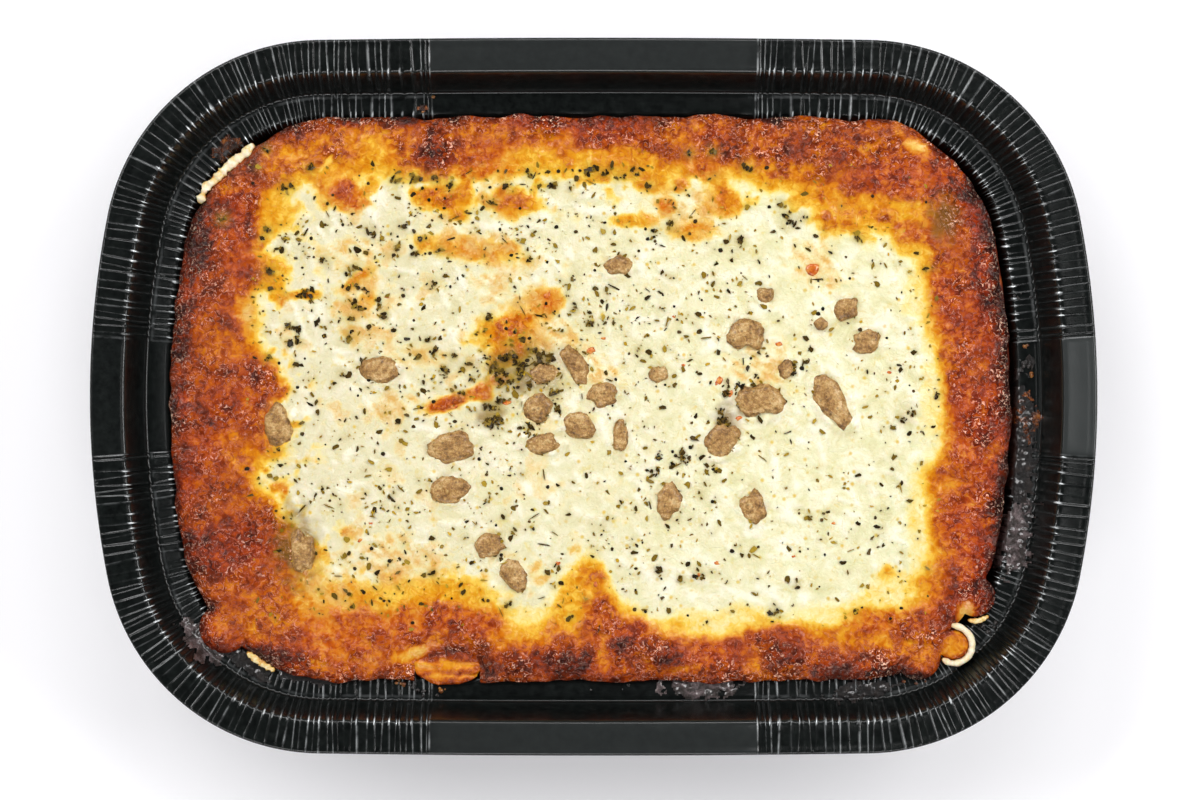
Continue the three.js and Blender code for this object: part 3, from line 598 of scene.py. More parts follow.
def toastAt(x, y, inside):  # browning: 0 white, 0.3 golden, 0.5 orange, 0.7 red-brown, 1 burnt; and redness
    beyond = outlineDistance(x, y, whiteOutline) + layered(x, y, (1.5, 8, 21), (0.9, 3.2, 22), (0.5, 1.4, 23))
    beyond -= 2.2 * between(-10, 70, x) * between(75, 20, y)  # paler towards the front and right
    toast = 0.13 * between(-5.5, -1, beyond) + 0.17 * between(-2, 1.6, beyond)
    toast += 0.17 * between(0.8, 5.6, beyond) + 0.06 * between(4.5, 10, beyond)
    islands = between(0.05, 0.5, layered(x, y, (1, 7, 46), (0.5, 2.6, 47)))
    toast += 0.2 * islands * between(-20, -3, beyond) * between(2, -2, beyond) * between(75, 0, x - y)
    blush = between(0.1, 0.6, layered(x, y, (1, 11, 49), (0.6, 3.5, 50)))
    blush *= (0.3 + 0.7 * between(40, -40, x)) * between(-1, -6, beyond)  # sauce through the cheese
    toast += 0.15 * blush
    red = (0.35 + 0.45 * softNoise(x, y, 15, 29)) * between(0.3, 0.54, toast) + 0.8 * blush
    ragged = layered(x, y, (0.32, 4.5, 27), (0.24, 1.9, 28))
    streaks = 0.4 + 0.6 * between(-0.4, 0.35, softNoise(0.6 * x + 0.8 * y, 0.24 * y - 0.32 * x, 1.8, 48))
    for key, (level, redness, ovals) in crustTones.items():
        for oval in ovals:
            cover = 0.92 * ovalCover(x, y, ragged, oval)
            if key == "peach":
                cover *= streaks
            toast, red = toast + (level - toast) * cover, red + (redness - red) * cover
    for ridge in paleRidges:
        toast += (0.23 - toast) * ovalCover(x, y, 0.4 * ragged, ridge)
    browned = between(0.22, 0.45, toast)
    mottle = layered(x, y, (0.09, 13, 24), (0.13, 5, 25), (0.1, 2.1, 26))
    burnt = 0.2 + 0.16 * between(98, 114, x) * between(-60, -30, y)  # most where the right edge stood up
    toast += (0.12 + 0.88 * browned) * mottle + burnt * browned * np.exp(-inside / 2.6)
    toast -= 0.05 * browned * between(-48, -66, y) * between(-30, -70, x)
    toast += browned * (0.09 * between(-80, -112, x) + 0.07 * between(96, 118, x))  # both ends took more heat
    red += 0.3 * browned * between(92, 116, x)
    puffed, own = bubbles(x + 1.4 * softNoise(x, y, 4, 31), y + 1.2 * softNoise(x, y, 5, 32), 6.2, 33)
    toast += 0.14 * browned * (puffed - 0.45) * own * between(0.4, 0.55, toast)  # what stands up burns
    return np.clip(toast, 0, 1), np.clip(red, 0, 1), browned


def crustField(x, y):  # height and looks of the crust at any point
    inside = np.maximum(crustInside(x, y), 0)
    toast, red, browned = toastAt(x, y, inside)
    curl = np.hypot(x - crust["lobes"][0][0], y - crust["lobes"][0][1]) < 6.5
    rounded = 1 - np.exp(-inside / np.where(curl, 0.7, crust["edgeRound"]))
    edgeBand = np.exp(-(inside / crust["browned"]) ** 2)
    dome = crust["dome"] * (1 - (2 * x / rim["length"]) ** 2) * (1 - (2 * y / rim["width"]) ** 2)
    relief = crust["thickness"] - crust["edgeThickness"] + dome + 0.5 * softNoise(x, y, 24, 1)
    relief += edgeBand * layered(x, y, (0.8, 10, 5), (0.5, 17, 6))
    for bx, by, radius, height in crust["blisters"]:
        relief += 0.7 * height * np.exp(-((x - bx) ** 2 + (y - by) ** 2) / radius ** 2)
    ragged = 0.2 * softNoise(x, y, 3, 30)
    for oval in crustTones["charred"][2]:  # the cheese burns where it blisters up
        relief += 0.9 * ovalCover(x, y, ragged, oval)
    for ridge in paleRidges:
        relief += ridge[5] * ovalCover(x, y, 0, ridge)
    warp = softNoise(x, y, 4, 31)
    large, largeOwn = bubbles(x + 1.4 * warp, y + 1.2 * softNoise(x, y, 5, 32), 6.2, 33)
    small, smallOwn = bubbles(x + 0.5 * softNoise(x, y, 2, 34), y, 2.5, 35)
    wrinkle = 1 - np.abs(softNoise(x + 1.5 * warp, y - warp, 2.3, 42)) * 2.2
    crisp = between(0.42, 0.62, toast)
    relief += browned * large * largeOwn + crisp * (0.55 * small * smallOwn + 0.26 * wrinkle)
    # Melted shreds: low strands that run in loose curves.
    bend = 5 * softNoise(x, y, 22, 36)
    swirl = between(-0.25, 0.25, softNoise(x, y, 16, 43))
    steep = softNoise(x * 0.8 + y * 0.5 + bend, (y * 0.9 - x * 0.5) * 0.35 + bend, 2.4, 37)
    level = softNoise((x * 0.9 - y * 0.3) * 0.35 + bend, x * 0.3 + y * 0.9 + bend, 2.2, 44)
    shreds = between(0.1, 0.6, steep * swirl + level * (1 - swirl) + 0.3 * softNoise(x, y, 9, 40))
    melted = 0.28 * shreds + layered(x, y, (0.3, 6, 38), (0.16, 2.1, 39))
    near = chunkDistance(x, y)
    lap = between(-0.5, 0.7, softNoise(x, y, 3.5, 45))  # the cheese laps round the sausage here and there
    relief += (1 - browned) * melted + lap * np.exp(-((near - 0.1) / 0.9) ** 2)
    top = crust["bottom"] + crust["edgeThickness"] + rounded * np.maximum(0, relief)
    olive = np.zeros(np.shape(x))
    for oval in oliveStains:
        olive = np.maximum(olive, ovalCover(x, y, ragged + 0.6 * softNoise(x, y, 2.6, 41), oval))
    greasy = (1 - lap) * np.exp(-((near - 0.2) / 0.9) ** 2)
    # The skin has dried into fine wrinkles all round, in patches, and least at the left end. The same mask
    # places the painted highlight strokes on the wrinkles.
    dry = 0.8 + 0.2 * np.maximum(between(-64, -50, y), 0.7 * between(70, 90, x))
    dry *= (1 - 0.45 * between(-88, -106, x)) * (0.35 + 0.65 * between(-0.4, 0.2, softNoise(x, y, 10, 51)))
    return {"top": top, "toast": toast, "red": red, "olive": olive, "greasy": greasy,
            "shreds": shreds, "dry": dry}


def topAt(x, y):
    return crustField(np.atleast_1d(np.asarray(x, float)), np.atleast_1d(np.asarray(y, float)))["top"]


# How many herbs and where they fall.
herbs = {
    "flakes": 1300, "golden": 900, "pepper": 150, "stems": 60, "reachX": 104, "reachY": 70, "batch": 400,
    "everywhere": 0.16, "moreLeft": 0.1, "heapShare": 0.3, "browned": 0.36,
    # the largest flakes, in clumps: x, y, length, turn in degrees
    "large": [
        (-91.7, 62.9, 4.2, 0), (-85, 68.3, 2.6, 80), (-98.2, 74.1, 1.6, 0), (-111.4, 53.4, 2.3, 30),
        (-97.6, 50.2, 1.7, 0), (-99.3, 47.5, 1.3, 0), (-97.2, 37.7, 3.8, -20), (-80.8, 41.2, 2.2, 20),
        (-72, 38.5, 3.2, 30), (-66.7, 48.9, 2.8, -45), (-59.3, 44.6, 2.1, 30), (-53.9, 42.8, 2.2, 20),
        (-46.2, 44, 2, 40), (-19.2, 41.3, 1.8, 60), (-48.6, 33.3, 2.6, 50), (-72.8, 23.5, 1.9, 0),
        (-63, 25, 2.3, 60), (-31.5, 24.1, 2.2, 70), (-1.5, 22, 2.8, 0), (-73.4, 18.3, 3.4, 75),
        (-49.8, 17.1, 2.3, 60), (-47.7, 13.4, 2.4, 70), (-52.9, 11.9, 1.9, 60), (-42.2, 12.5, 2.8, 0),
        (-44.7, 8.2, 3.2, -10), (-37.6, 10, 2.2, 0), (-75.6, 7, 1.8, 80), (-5.5, 27.2, 2.4, 80),
        (-28.4, -1.3, 3.2, -10), (-40.1, 1.1, 2.2, 0), (-11.9, 1.1, 3.6, 8), (-59.2, 65, 3.2, 0),
        (-53.3, 65.6, 3.4, -12), (-43.3, 63.6, 2.8, 50), (-48.1, 65.3, 1.8, 40), (-30.3, 58.1, 2.3, -10),
        (-26.1, 63.1, 2.8, 5), (-12.7, 63.4, 3.2, 30), (-57.3, 51, 2.6, 15), (-19.6, 67.1, 2.6, -70),
        (-0.8, 68, 3.8, 35), (28.9, 72.8, 2.2, 80), (35.6, 73.4, 2.3, -20), (46, 68.6, 3, -15),
        (12.5, 67.3, 2.6, -65), (7.9, 65.7, 3.4, 8), (3.3, 66.9, 2.1, 30), (16.7, 63.1, 2.2, 0),
        (22.8, 51.5, 2.8, -75), (18.2, 49.7, 1.5, 0), (44.2, 47.3, 2.4, 60), (59.2, 53.1, 5, -65),
        (63.3, 53.8, 1.7, 0), (56.5, 58.1, 2.6, 55), (79.3, 47.7, 1.6, 0), (-25.4, -62.4, 2.4, 50),
        (-48.7, -53, 1.6, 10), (19.6, -52.6, 2.6, 80), (31.8, -54, 2.8, 0), (26.1, -54.7, 1.4, 0),
        (54.3, -64.7, 3, 10), (61, -56.8, 1.9, -50), (94, -5.7, 5.2, 38), (103.2, 0.4, 2, 80),
        (-26, 11.9, 3.8, 25), (-21.2, 9.2, 3.4, 10), (-23.9, 5, 3.6, 30), (-18.2, 14, 3.2, -20),
        (-28.7, 7.4, 3, 40), (-14.6, 7.4, 3, 0), (-31.4, -7.3, 3, 30), (-29.3, -3.4, 2.6, 0),
        (-97.8, 11.6, 2, 60),
    ],
    # dark wet heaps of them: x, y, half length, half width, how many clumps
    "wetHeaps": [
        (-22, 9, 11, 6.5, 24), (-30.5, -6, 3.6, 3.6, 8), (39.5, -8.5, 2.6, 5, 8), (23, -21, 7, 6, 8),
        (44, 3, 5, 6, 7), (-15, -9, 8, 7, 8), (60, 10, 5, 6, 5), (-85, 30.8, 4, 1.4, 5), (-91, 19, 3, 4, 5),
        (-68, 30, 5, 4, 5),
    ],
    # x, y, spread, how many more fall here
    "heaps": [
        (-40, 60, 12, 1.0), (-55, 45, 14, 0.8), (-22, 8, 9, 2.6), (-38, 5, 12, 1.2), (-32, -20, 8, 1.6),
        (30, 36, 14, 0.9), (45, 8, 10, 1.2), (-20, 56, 12, 0.9), (-85, 50, 8, 0.8), (-72, 10, 14, 0.7),
        (20, -25, 12, 0.7), (-62, -35, 12, 0.9), (6, 20, 16, 0.8), (-30, -45, 7, 1.6), (-90, -20, 6, 1.4),
        (-90, 24, 8, 0.9), (45, 50, 10, 0.6), (38, -22, 7, 1.4),
    ],
}


def scatter(count, seed, avoidBrowned):
    random.seed(seed)
    places, batch = [], range(herbs["batch"])
    while len(places) < count:
        x = np.array([random.uniform(-herbs["reachX"], herbs["reachX"]) for k in batch])
        y = np.array([random.uniform(-herbs["reachY"], herbs["reachY"]) for k in batch])
        chance = herbs["everywhere"] + herbs["moreLeft"] * (x < 20)
        for hx, hy, spread, more in herbs["heaps"]:
            chance += herbs["heapShare"] * more * np.exp(-((x - hx) ** 2 + (y - hy) ** 2) / spread ** 2)
        chance *= 1 + 0.8 * softNoise(x, y, 7, seed)
        field = crustField(x, y)
        chance *= np.where(field["toast"] > herbs["browned"], avoidBrowned, 1)
        chance *= np.where(chunkDistance(x, y) < -0.6, 0.15, 1)
        draws = np.array([random.random() for k in batch])
        for k in np.flatnonzero(draws < chance):
            places.append((x[k], y[k], field["top"][k]))
    return places[:count]


def herbStain(x, y):  # how much the fat is stained by herbs round about
    stain = np.zeros(len(x))
    marks = [(fx, fy, 1.3, 0.55) for fx, fy, fz in flakePlaces[:500]]
    marks += [(bx, by, 0.5 * size + 0.9, 0.9) for bx, by, size, turn in herbs["large"]]
    for fx, fy, reach, strength in marks:
        close = (np.abs(x - fx) < 3 * reach) & (np.abs(y - fy) < 3 * reach)
        stain[close] += strength * np.exp(-((x[close] - fx) ** 2 + (y[close] - fy) ** 2) / reach ** 2)
    return np.clip(stain, 0, 1)


flakePlaces = scatter(herbs["flakes"], 61, 0.22)


crustLooks = ("toast", "red", "olive", "greasy", "stain", "shreds", "dry")


def makeCrust():
    cell = crust["cell"]
    columns, rows = int(crust["gridLength"] / cell), int(crust["gridWidth"] / cell)
    x, y = np.meshgrid(*[(np.arange(count) - count / 2 + 0.5) * cell for count in (columns, rows)])
    solid = wholeCells(crustInside(x, y) > -0.45 * cell)
    # A cell that hangs on by a corner or a single side is dropped, so that the edge is one clean loop.
    for step in range(3):
        padded = np.pad(solid, 1)
        sides = padded[:-2, 1:-1].astype(int) + padded[2:, 1:-1] + padded[1:-1, :-2] + padded[1:-1, 2:]
        solid &= sides >= 2
    cells, used = cellFaces(solid)
    px, py = x.ravel()[used], y.ravel()[used]
    edges = [(a, b) for k in range(4) for a, b in cells[:, [k, (k + 1) % 4]].tolist()]
    known = set(edges)
    following = {a: b for a, b in edges if (b, a) not in known}
    loops = []
    while following:
        start = next(iter(following))
        loop, at = [start], following.pop(start)
        while at != start:
            loop.append(at)
            at = following.pop(at)
        loops.append(loop)
    loop = np.array(max(loops, key=len))
    for step in range(2):  # the edge's points move onto the outline
        gap = crustInside(px[loop], py[loop])
        gx = (crustInside(px[loop] + 0.2, py[loop]) - crustInside(px[loop] - 0.2, py[loop])) / 0.4
        gy = (crustInside(px[loop], py[loop] + 0.2) - crustInside(px[loop], py[loop] - 0.2)) / 0.4
        size = np.maximum(gx ** 2 + gy ** 2, 0.3)
        px[loop] -= np.clip(gap * gx / size, -1, 1)
        py[loop] -= np.clip(gap * gy / size, -1, 1)
    field = crustField(px, py)
    inset, nx, ny = rimInset(px[loop], py[loop])
    points = [np.stack([px, py, field["top"]], 1)]
    for out, up in crust["skirt"]:
        height = np.minimum(crust["bottom"] + up, field["top"][loop] - 0.05)
        points.append(np.stack([px[loop] + out * nx, py[loop] + out * ny, height], 1))
    count, base, faces = len(loop), len(px), cells.tolist()
    rings = [loop] + [base + k * count + np.arange(count) for k in range(len(crust["skirt"]))]
    for upper, lower in zip(rings, rings[1:]):
        faces += quads(upper, lower, np.roll(lower, -1), np.roll(upper, -1))
    faces.append(rings[-1].tolist()[::-1])
    field["stain"] = herbStain(px, py)
    around = np.concatenate([np.arange(base)] + [loop] * len(crust["skirt"]))
    return np.concatenate(points), faces, {key: field[key][around] for key in crustLooks}


def bakedCheese():
    # Mozzarella melted over tomato sauce: cream and softly translucent in the middle, browned by the
    # oven through gold and orange to red-brown at the edge. The clear fat on it gives the gloss and
    # wrinkles with the skin below; short bright strokes of highlight are painted into the colour along
    # the wrinkles' ridges, and the dents between them are painted darker.
    material, tree, shader, place = newMaterial("baked mozzarella", {
        "IOR": 1.45, "Specular IOR Level": 0, "Subsurface Weight": 0.1, "Subsurface Scale": 1.2 * mm,
        "Coat Weight": 1, "Coat Roughness": 0.07, "Coat IOR": 1.5,
    })
    look = {name: addNode(tree, "Attribute", {"attribute_name": name}, "Fac") for name in crustLooks}
    broad = addNode(tree, "TexNoise", {"Vector": place, "grain": 5, "Detail": 5, "Roughness": 0.6})
    skin = addNode(tree, "TexNoise", {
        "Vector": place, "grain": 1.6, "Detail": 1, "Roughness": 0.45, "Distortion": 1})
    pores = addNode(tree, "TexNoise", {"Vector": place, "grain": 0.9, "Detail": 2})
    # The skin's wrinkles: narrow ridges that wind between shallow dents, in patches.
    swing = addNode(tree, "Math", {"operation": "SUBTRACT", 0: skin, 1: 0.5})
    puffs = addNode(tree, "Math", {"operation": "ABSOLUTE", 0: swing})
    grainy = addNode(tree, "MapRange", {"Value": look["dry"], "To": (0.5, 1)})
    browned = addNode(tree, "MapRange", {"Value": look["toast"], "From": (0.2, 0.6), "To": (0.15, grainy)})
    # painted shade: the dents of the wrinkles are drawn darker and their tops lighter
    paintedCreaseShade = addNode(tree, "MapRange", {"Value": skin, "From": (0.3, 0.7), "To": (0.17, -0.14)})
    uneven = addNode(tree, "MapRange", {"Value": broad, "From": (0.3, 0.7), "To": (-0.14, 0.09)})
    shift = addNode(tree, "Math", {"operation": "ADD", 0: paintedCreaseShade, 1: uneven})
    level = addNode(tree, "Math", {
        "operation": "MULTIPLY_ADD", "use_clamp": True, 0: shift, 1: browned, 2: look["toast"]})
    amber = addNode(tree, "ValToRGB", {"Fac": level, "stops": [
        (0, "#eadfb0"), (0.1, "#f6e48c"), (0.19, "#f0ca55"), (0.3, "#de9c1c"), (0.4, "#d07c08"),
        (0.5, "#b65a06"), (0.61, "#993f08"), (0.72, "#7a2e08"), (0.84, "#561f0a"), (1, "#2e120a")]})
    crimson = addNode(tree, "ValToRGB", {"Fac": level, "stops": [
        (0, "#e6dcb0"), (0.1, "#e6d3a0"), (0.2, "#dbae6a"), (0.3, "#d0863a"), (0.4, "#c76218"),
        (0.5, "#b0440b"), (0.61, "#952f08"), (0.72, "#75220b"), (0.84, "#521a0d"), (1, "#2c110c")]})
    toasted = addNode(tree, "Mix", {"data_type": "RGBA", 0: look["red"], 6: amber, 7: crimson}, 2)
    # Where it stays white it drifts between ivory, cream and a greenish cream.
    drift = addNode(tree, "TexNoise", {
        "Vector": place, "grain": 8, "Detail": 7, "Roughness": 0.7, "Distortion": 0.6})
    white = addNode(tree, "ValToRGB", {"Fac": drift, "stops": [
        (0.28, "#d3cd9a"), (0.4, "#e1dbac"), (0.5, "#e9e4bc"), (0.6, "#f1edd0"), (0.72, "#f6f4e4")]})
    # Painted shade: it is drawn greyer and pinker towards the left, as if less lit there, and yellower on the
    # right.
    across = addNode(tree, "SeparateXYZ", {"Vector": place}, "X")
    paintedShadeLeft = addNode(tree, "MapRange", {"Value": across, "From": (60 * mm, -90 * mm), "To": (0, 0.5)})
    ivory = addNode(tree, "Math", {"operation": "MULTIPLY", 0: look["shreds"], 1: 0.6})
    fat = addNode(tree, "TexNoise", {
        "Vector": place, "grain": 2.6, "Detail": 4, "Roughness": 0.65, "Distortion": 0.8})
    oily = addNode(tree, "MapRange", {"Value": fat, "From": (0.55, 0.7), "To": (0, 0.5)})
    for amount, tint in ((paintedShadeLeft, "#d8cbab"), (ivory, "#faf6e4"), (oily, "#ddc668")):
        white = addNode(tree, "Mix", {"data_type": "RGBA", 0: amount, 6: white, 7: tint}, 2)
    share = addNode(tree, "MapRange", {"Value": level, "From": (0.05, 0.2)})
    colour = addNode(tree, "Mix", {"data_type": "RGBA", 0: share, 6: white, 7: toasted}, 2)
    # Golden specks where herbs have tinted the fat, 1 to 2 mm across.
    specks = addNode(tree, "TexVoronoi", {"Vector": place, "grain": 3.4}).node
    own = addNode(tree, "SeparateColor", {"Color": specks.outputs["Color"]})
    tinted = addNode(tree, "MapRange", {"Value": look["toast"], "From": (0.08, 0.3), "To": (0.9, 0)})
    chosen = addNode(tree, "MapRange", {"Value": own, "From": (0.4, 0.7), "To Max": tinted})
    speck = addNode(tree, "MapRange", {
        "Value": specks.outputs["Distance"], "From": (0.24, 0.08), "To Max": chosen})
    for amount, most, tint in ((speck, 0.9, "#dab425"), (look["olive"], 0.75, "#7d581c"),
                               (look["stain"], 0.5, "#ab933a"), (look["greasy"], 0.25, "#b09050")):
        part = addNode(tree, "Math", {"operation": "MULTIPLY", 0: amount, 1: most})
        colour = addNode(tree, "Mix", {"data_type": "RGBA", 0: part, 6: colour, 7: tint}, 2)
    # Painted highlights: pale pink strokes are added to the colour along the wrinkles' ridges in the dried
    # patches, where light glints on the fat.
    ridge = addNode(tree, "MapRange", {
        "Value": puffs, "interpolation_type": "SMOOTHSTEP", "From": (0.01, 0.05), "To": (1, 0)})
    patch = addNode(tree, "TexNoise", {"Vector": place, "grain": 7, "Detail": 3})
    patchy = addNode(tree, "MapRange", {"Value": patch, "From": (0.42, 0.6), "To": (0.2, 1)})
    dry = addNode(tree, "MapRange", {"Value": look["toast"], "From": (0.44, 0.62)})
    dry = addNode(tree, "Math", {"operation": "MULTIPLY", 0: dry, 1: look["dry"]})
    driedAndGlinting = addNode(tree, "Math", {"operation": "MULTIPLY", 0: patchy, 1: dry})
    broken = addNode(tree, "MapRange", {"Value": pores, "From": (0.44, 0.56)})
    glintStrokes = addNode(tree, "Math", {"operation": "MULTIPLY", 0: broken, 1: ridge})
    paintedGlints = addNode(tree, "Math", {"operation": "MULTIPLY", 0: driedAndGlinting, 1: glintStrokes})
    colour = addNode(tree, "Mix", {
        "data_type": "RGBA", "blend_type": "ADD", 0: paintedGlints, 6: colour, 7: (1.0, 0.68, 0.5, 1)}, 2)
    folds = addNode(tree, "Math", {"operation": "MULTIPLY_ADD", 0: pores, 1: 0.3, 2: skin})
    folds = addNode(tree, "Math", {"operation": "MULTIPLY_ADD", 0: ridge, 1: 0.1, 2: folds})
    least = addNode(tree, "MapRange", {"Value": look["toast"], "From": (0.34, 0.56), "To": (0.14, 0.26)})
    relief = addNode(tree, "Math", {"operation": "MULTIPLY_ADD", 0: driedAndGlinting, 1: 0.76, 2: least})
    height = addNode(tree, "Math", {"operation": "MULTIPLY", 0: folds, 1: relief})
    bump = addNode(tree, "Bump", {"Height": height, "Strength": 1, "Distance": 2 * mm})
    soaked = addNode(tree, "MapRange", {"Value": look["toast"], "From": (0.12, 0.5), "To": (1, 0.55)})
    fatty = addNode(tree, "MapRange", {"Value": driedAndGlinting, "To": (soaked, 0.3)})
    giveSettings(shader, {"Base Color": colour, "Coat Weight": fatty, "Normal": bump, "Coat Normal": bump})
    return material


cheese = bakedCheese()
addPiece("cheeseCrust", makeCrust(), cheese, "melted_cheese", "cheese_crust")
print("crust ready")

# The bake below the crust.
bake = {
    "step": 2.2, "uneven": 0.9, "side": [  # inset and height, from the bottom up
        (32, 0.9), (30.2, 4), (28.4, 11), (26.9, 17), (25.9, 23), (25.5, 28), (25.0, 33), (24.4, 36),
        (25, 37), (27, 37.15),
    ],
}


def makeBake():
    distance = np.arange(0, 4 * quarter, bake["step"])
    cx, cy, r, nx, ny = rimStations(distance)
    shift, rings = cornerShift(nx, ny), []
    for inset, z in bake["side"]:
        height = np.full(len(distance), float(z))
        reach = r - inset - shift - bake["uneven"] * np.abs(softNoise(distance, height, 12, 51))
        rings.append(np.stack([cx + reach * nx, cy + reach * ny, height], 1))
    return stackRings(rings)


# Tomato sauce and pasta baked against the foil: dark red-brown, greasy, with burnt freckles.
sauce = mottledFood("baked tomato sauce", {
    "IOR": 1.42, "Roughness": 0.35, "Coat Weight": 0.5, "Coat Roughness": 0.12},
    {"grain": 6, "Detail": 6, "Roughness": 0.65},
    [(0.3, "#2a1512"), (0.45, "#5f2418"), (0.58, "#8f3a1a"), (0.75, "#b9652b")], (0.6, 0.6))
addPiece("pastaBake", makeBake(), sauce, "tomato_sauce", "pasta_bake")
print("bake ready")


def cookedSausage():
    # Ground pork, crumbled and baked: tan-brown, a fine grain of fat and lean, a dull greasy sheen.
    material, tree, shader, place = newMaterial("crumbled sausage", {
        "IOR": 1.42, "Roughness": 0.45, "Subsurface Weight": 0.05, "Subsurface Scale": 1 * mm,
        "Coat Weight": 0.35, "Coat Roughness": 0.18})
    grain = addNode(tree, "TexNoise", {"Vector": place, "grain": 1.4, "Detail": 6, "Roughness": 0.85})
    broad = addNode(tree, "TexNoise", {"Vector": place, "grain": 4.5, "Detail": 4})
    half = addNode(tree, "Math", {"operation": "MULTIPLY", 0: grain, 1: 0.65})
    mixed = addNode(tree, "Math", {"operation": "MULTIPLY_ADD", 0: broad, 1: 0.35, 2: half})
    edge = addNode(tree, "Attribute", {"attribute_name": "edge"}, "Fac")
    sunk = addNode(tree, "Math", {"operation": "MULTIPLY_ADD", 0: edge, 1: -0.015, 2: mixed})
    colour = addNode(tree, "ValToRGB", {"Fac": sunk, "stops": [
        (0.34, "#563a1e"), (0.42, "#835d30"), (0.48, "#a67b43"), (0.53, "#bd9356"), (0.59, "#d6b47e")]})
    flecks = addNode(tree, "TexVoronoi", {"Vector": place, "grain": 2.2})
    fleck = addNode(tree, "MapRange", {"Value": flecks, "From": (0.24, 0.1), "To Max": 0.55})
    dotted = addNode(tree, "Mix", {"data_type": "RGBA", 0: fleck, 6: colour, 7: "#4f381d"}, 2)
    lumps = addNode(tree, "TexNoise", {"Vector": place, "grain": 1.7, "Detail": 2})
    bump = addNode(tree, "Bump", {"Height": lumps, "Strength": 1, "Distance": 1.6 * mm})
    giveSettings(shader, {"Base Color": dotted, "Normal": bump})
    return material


def makeChunk(x, y, length, width, turn, seed):  # an angular crumb: a ball pressed against flat sides
    random.seed(seed)
    v, faces = roundBall(4 if length > 6 else 3)
    angle = np.arctan2(v[:, 1], v[:, 0])
    cornerAngle, power = angle + random.uniform(0, 3), random.uniform(1.9, 2.9)
    reach = (np.abs(np.cos(cornerAngle)) ** power + np.abs(np.sin(cornerAngle)) ** power) ** (-1 / power)
    for k in range(2):  # bites out of its side
        bite = random.uniform(0, 2 * math.pi)
        reach -= random.uniform(0.08, 0.28) * np.exp(-((np.cos(angle - bite) - 1) / 0.1) ** 2)
    reach = 0.97 * reach + 0.16 * softNoise(v[:, 0] * 2 + v[:, 2], v[:, 1] * 2 + 0.5, 1, seed)
    reach += 0.07 * softNoise(v[:, 0] * 6, v[:, 1] * 6 + v[:, 2] * 2, 1, seed + 1)
    top = np.sign(v[:, 2]) * np.minimum(np.abs(v[:, 2]) * 1.1, 0.5 + 0.42 * np.abs(v[:, 2]))
    top += 0.12 * softNoise(v[:, 0] * 2, v[:, 1] * 2, 0.8, seed + 2)
    top += 0.07 * softNoise(v[:, 0] * 6, v[:, 1] * 6, 0.9, seed + 3)
    v = np.stack([v[:, 0] * reach, v[:, 1] * reach, top], 1)
    edge = between(0.7, 1.05, np.hypot(v[:, 0], v[:, 1]))
    v = v * [length / 2, width / 2, sausage["height"] + sausage["rise"] * width]
    c, s = cosSin(turn)
    middle = float(np.mean(topAt([x, x + 2, x - 2], [y, y + 2, y - 2])))
    z = middle - sausage["sunk"] + v[:, 2]
    points = np.stack([x + v[:, 0] * c - v[:, 1] * s, y + v[:, 0] * s + v[:, 1] * c, z], 1)
    return points, faces, {"edge": edge}


meat = cookedSausage()
for k, chunk in enumerate(sausage["chunks"]):
    number = f"{k + 1:02d}"
    shape = makeChunk(*chunk, sausage["seed"] + 5 * k)
    addPiece("sausagePiece" + number, shape, meat, "cooked_sausage", "sausage_" + number)
print("sausage ready")


def flakeShapes(places, seed, lengths, slim, thickness):
    random.seed(seed)
    points, faces, tones = [], [], []
    for x, y, z in places:
        length = lengths[0] + (lengths[1] - lengths[0]) * random.random() ** 2.2
        wide = length * random.uniform(*slim)
        turn = random.uniform(0, 2 * math.pi)
        tilt, roll = random.uniform(-0.3, 0.3), random.uniform(-0.35, 0.35)
        corners = random.choice((6, 7, 8, 9))
        base = len(points)
        tone = random.random()
        outline = []
        for k in range(corners):
            a = 2 * math.pi * k / corners + random.uniform(-0.2, 0.2)
            reach = random.uniform(0.5, 1.15)
            outline.append((reach * math.cos(a) * length / 2, reach * math.sin(a) * wide / 2))
        for side in (0, 1):
            for u, v in outline:
                up = tilt * u + roll * v - 0.25 * (u * u) / length + (thickness if side else -0.1)
                points.append((x + u * math.cos(turn) - v * math.sin(turn),
                               y + u * math.sin(turn) + v * math.cos(turn), z + 0.12 + up))
                tones.append(tone)
        faces.append([base + k for k in range(corners)][::-1])
        faces.append([base + corners + k for k in range(corners)])
        for k in range(corners):
            n = (k + 1) % corners
            faces.append([base + k, base + n, base + corners + n, base + corners + k])
    return points, faces, {"tone": tones}


def grainShapes(places, seed, sizes):
    random.seed(seed)
    ball, ballFaces = roundBall(2)
    points, faces, tones = [], [], []
    for x, y, z in places:
        size = random.uniform(*sizes) / 2
        stretch = random.uniform(0.75, 1.35)
        base, tone = len(points), random.random()
        for px, py, pz in ball:
            reach = size * random.uniform(0.82, 1.12)
            points.append((x + px * reach * stretch, y + py * reach, z + 0.2 * size + pz * reach * 0.8))
            tones.append(tone)
        faces += [[base + k for k in face] for face in ballFaces]
    return points, faces, {"tone": tones}


def driedHerb(name, stops, rough):
    # Dried leaf crumbs soaked in fat: olive to brown-black where they have toasted, each its own shade.
    material, tree, shader, place = newMaterial(name, {
        "IOR": 1.4, "Specular IOR Level": 0.1, "Roughness": rough, "Coat Weight": 0.1, "Coat Roughness": 0.1})
    tone = addNode(tree, "Attribute", {"attribute_name": "tone"}, "Fac")
    vein = addNode(tree, "TexNoise", {"Vector": place, "grain": 0.5, "Detail": 2})
    shade = addNode(tree, "Math", {"operation": "MULTIPLY_ADD", 0: vein, 1: 0.3, 2: -0.15})
    total = addNode(tree, "Math", {"operation": "ADD", "use_clamp": True, 0: tone, 1: shade})
    colour = addNode(tree, "ValToRGB", {"Fac": total, "stops": stops})
    bump = addNode(tree, "Bump", {"Height": vein, "Strength": 0.4, "Distance": 0.1 * mm})
    giveSettings(shader, {"Base Color": colour, "Normal": bump})
    return material


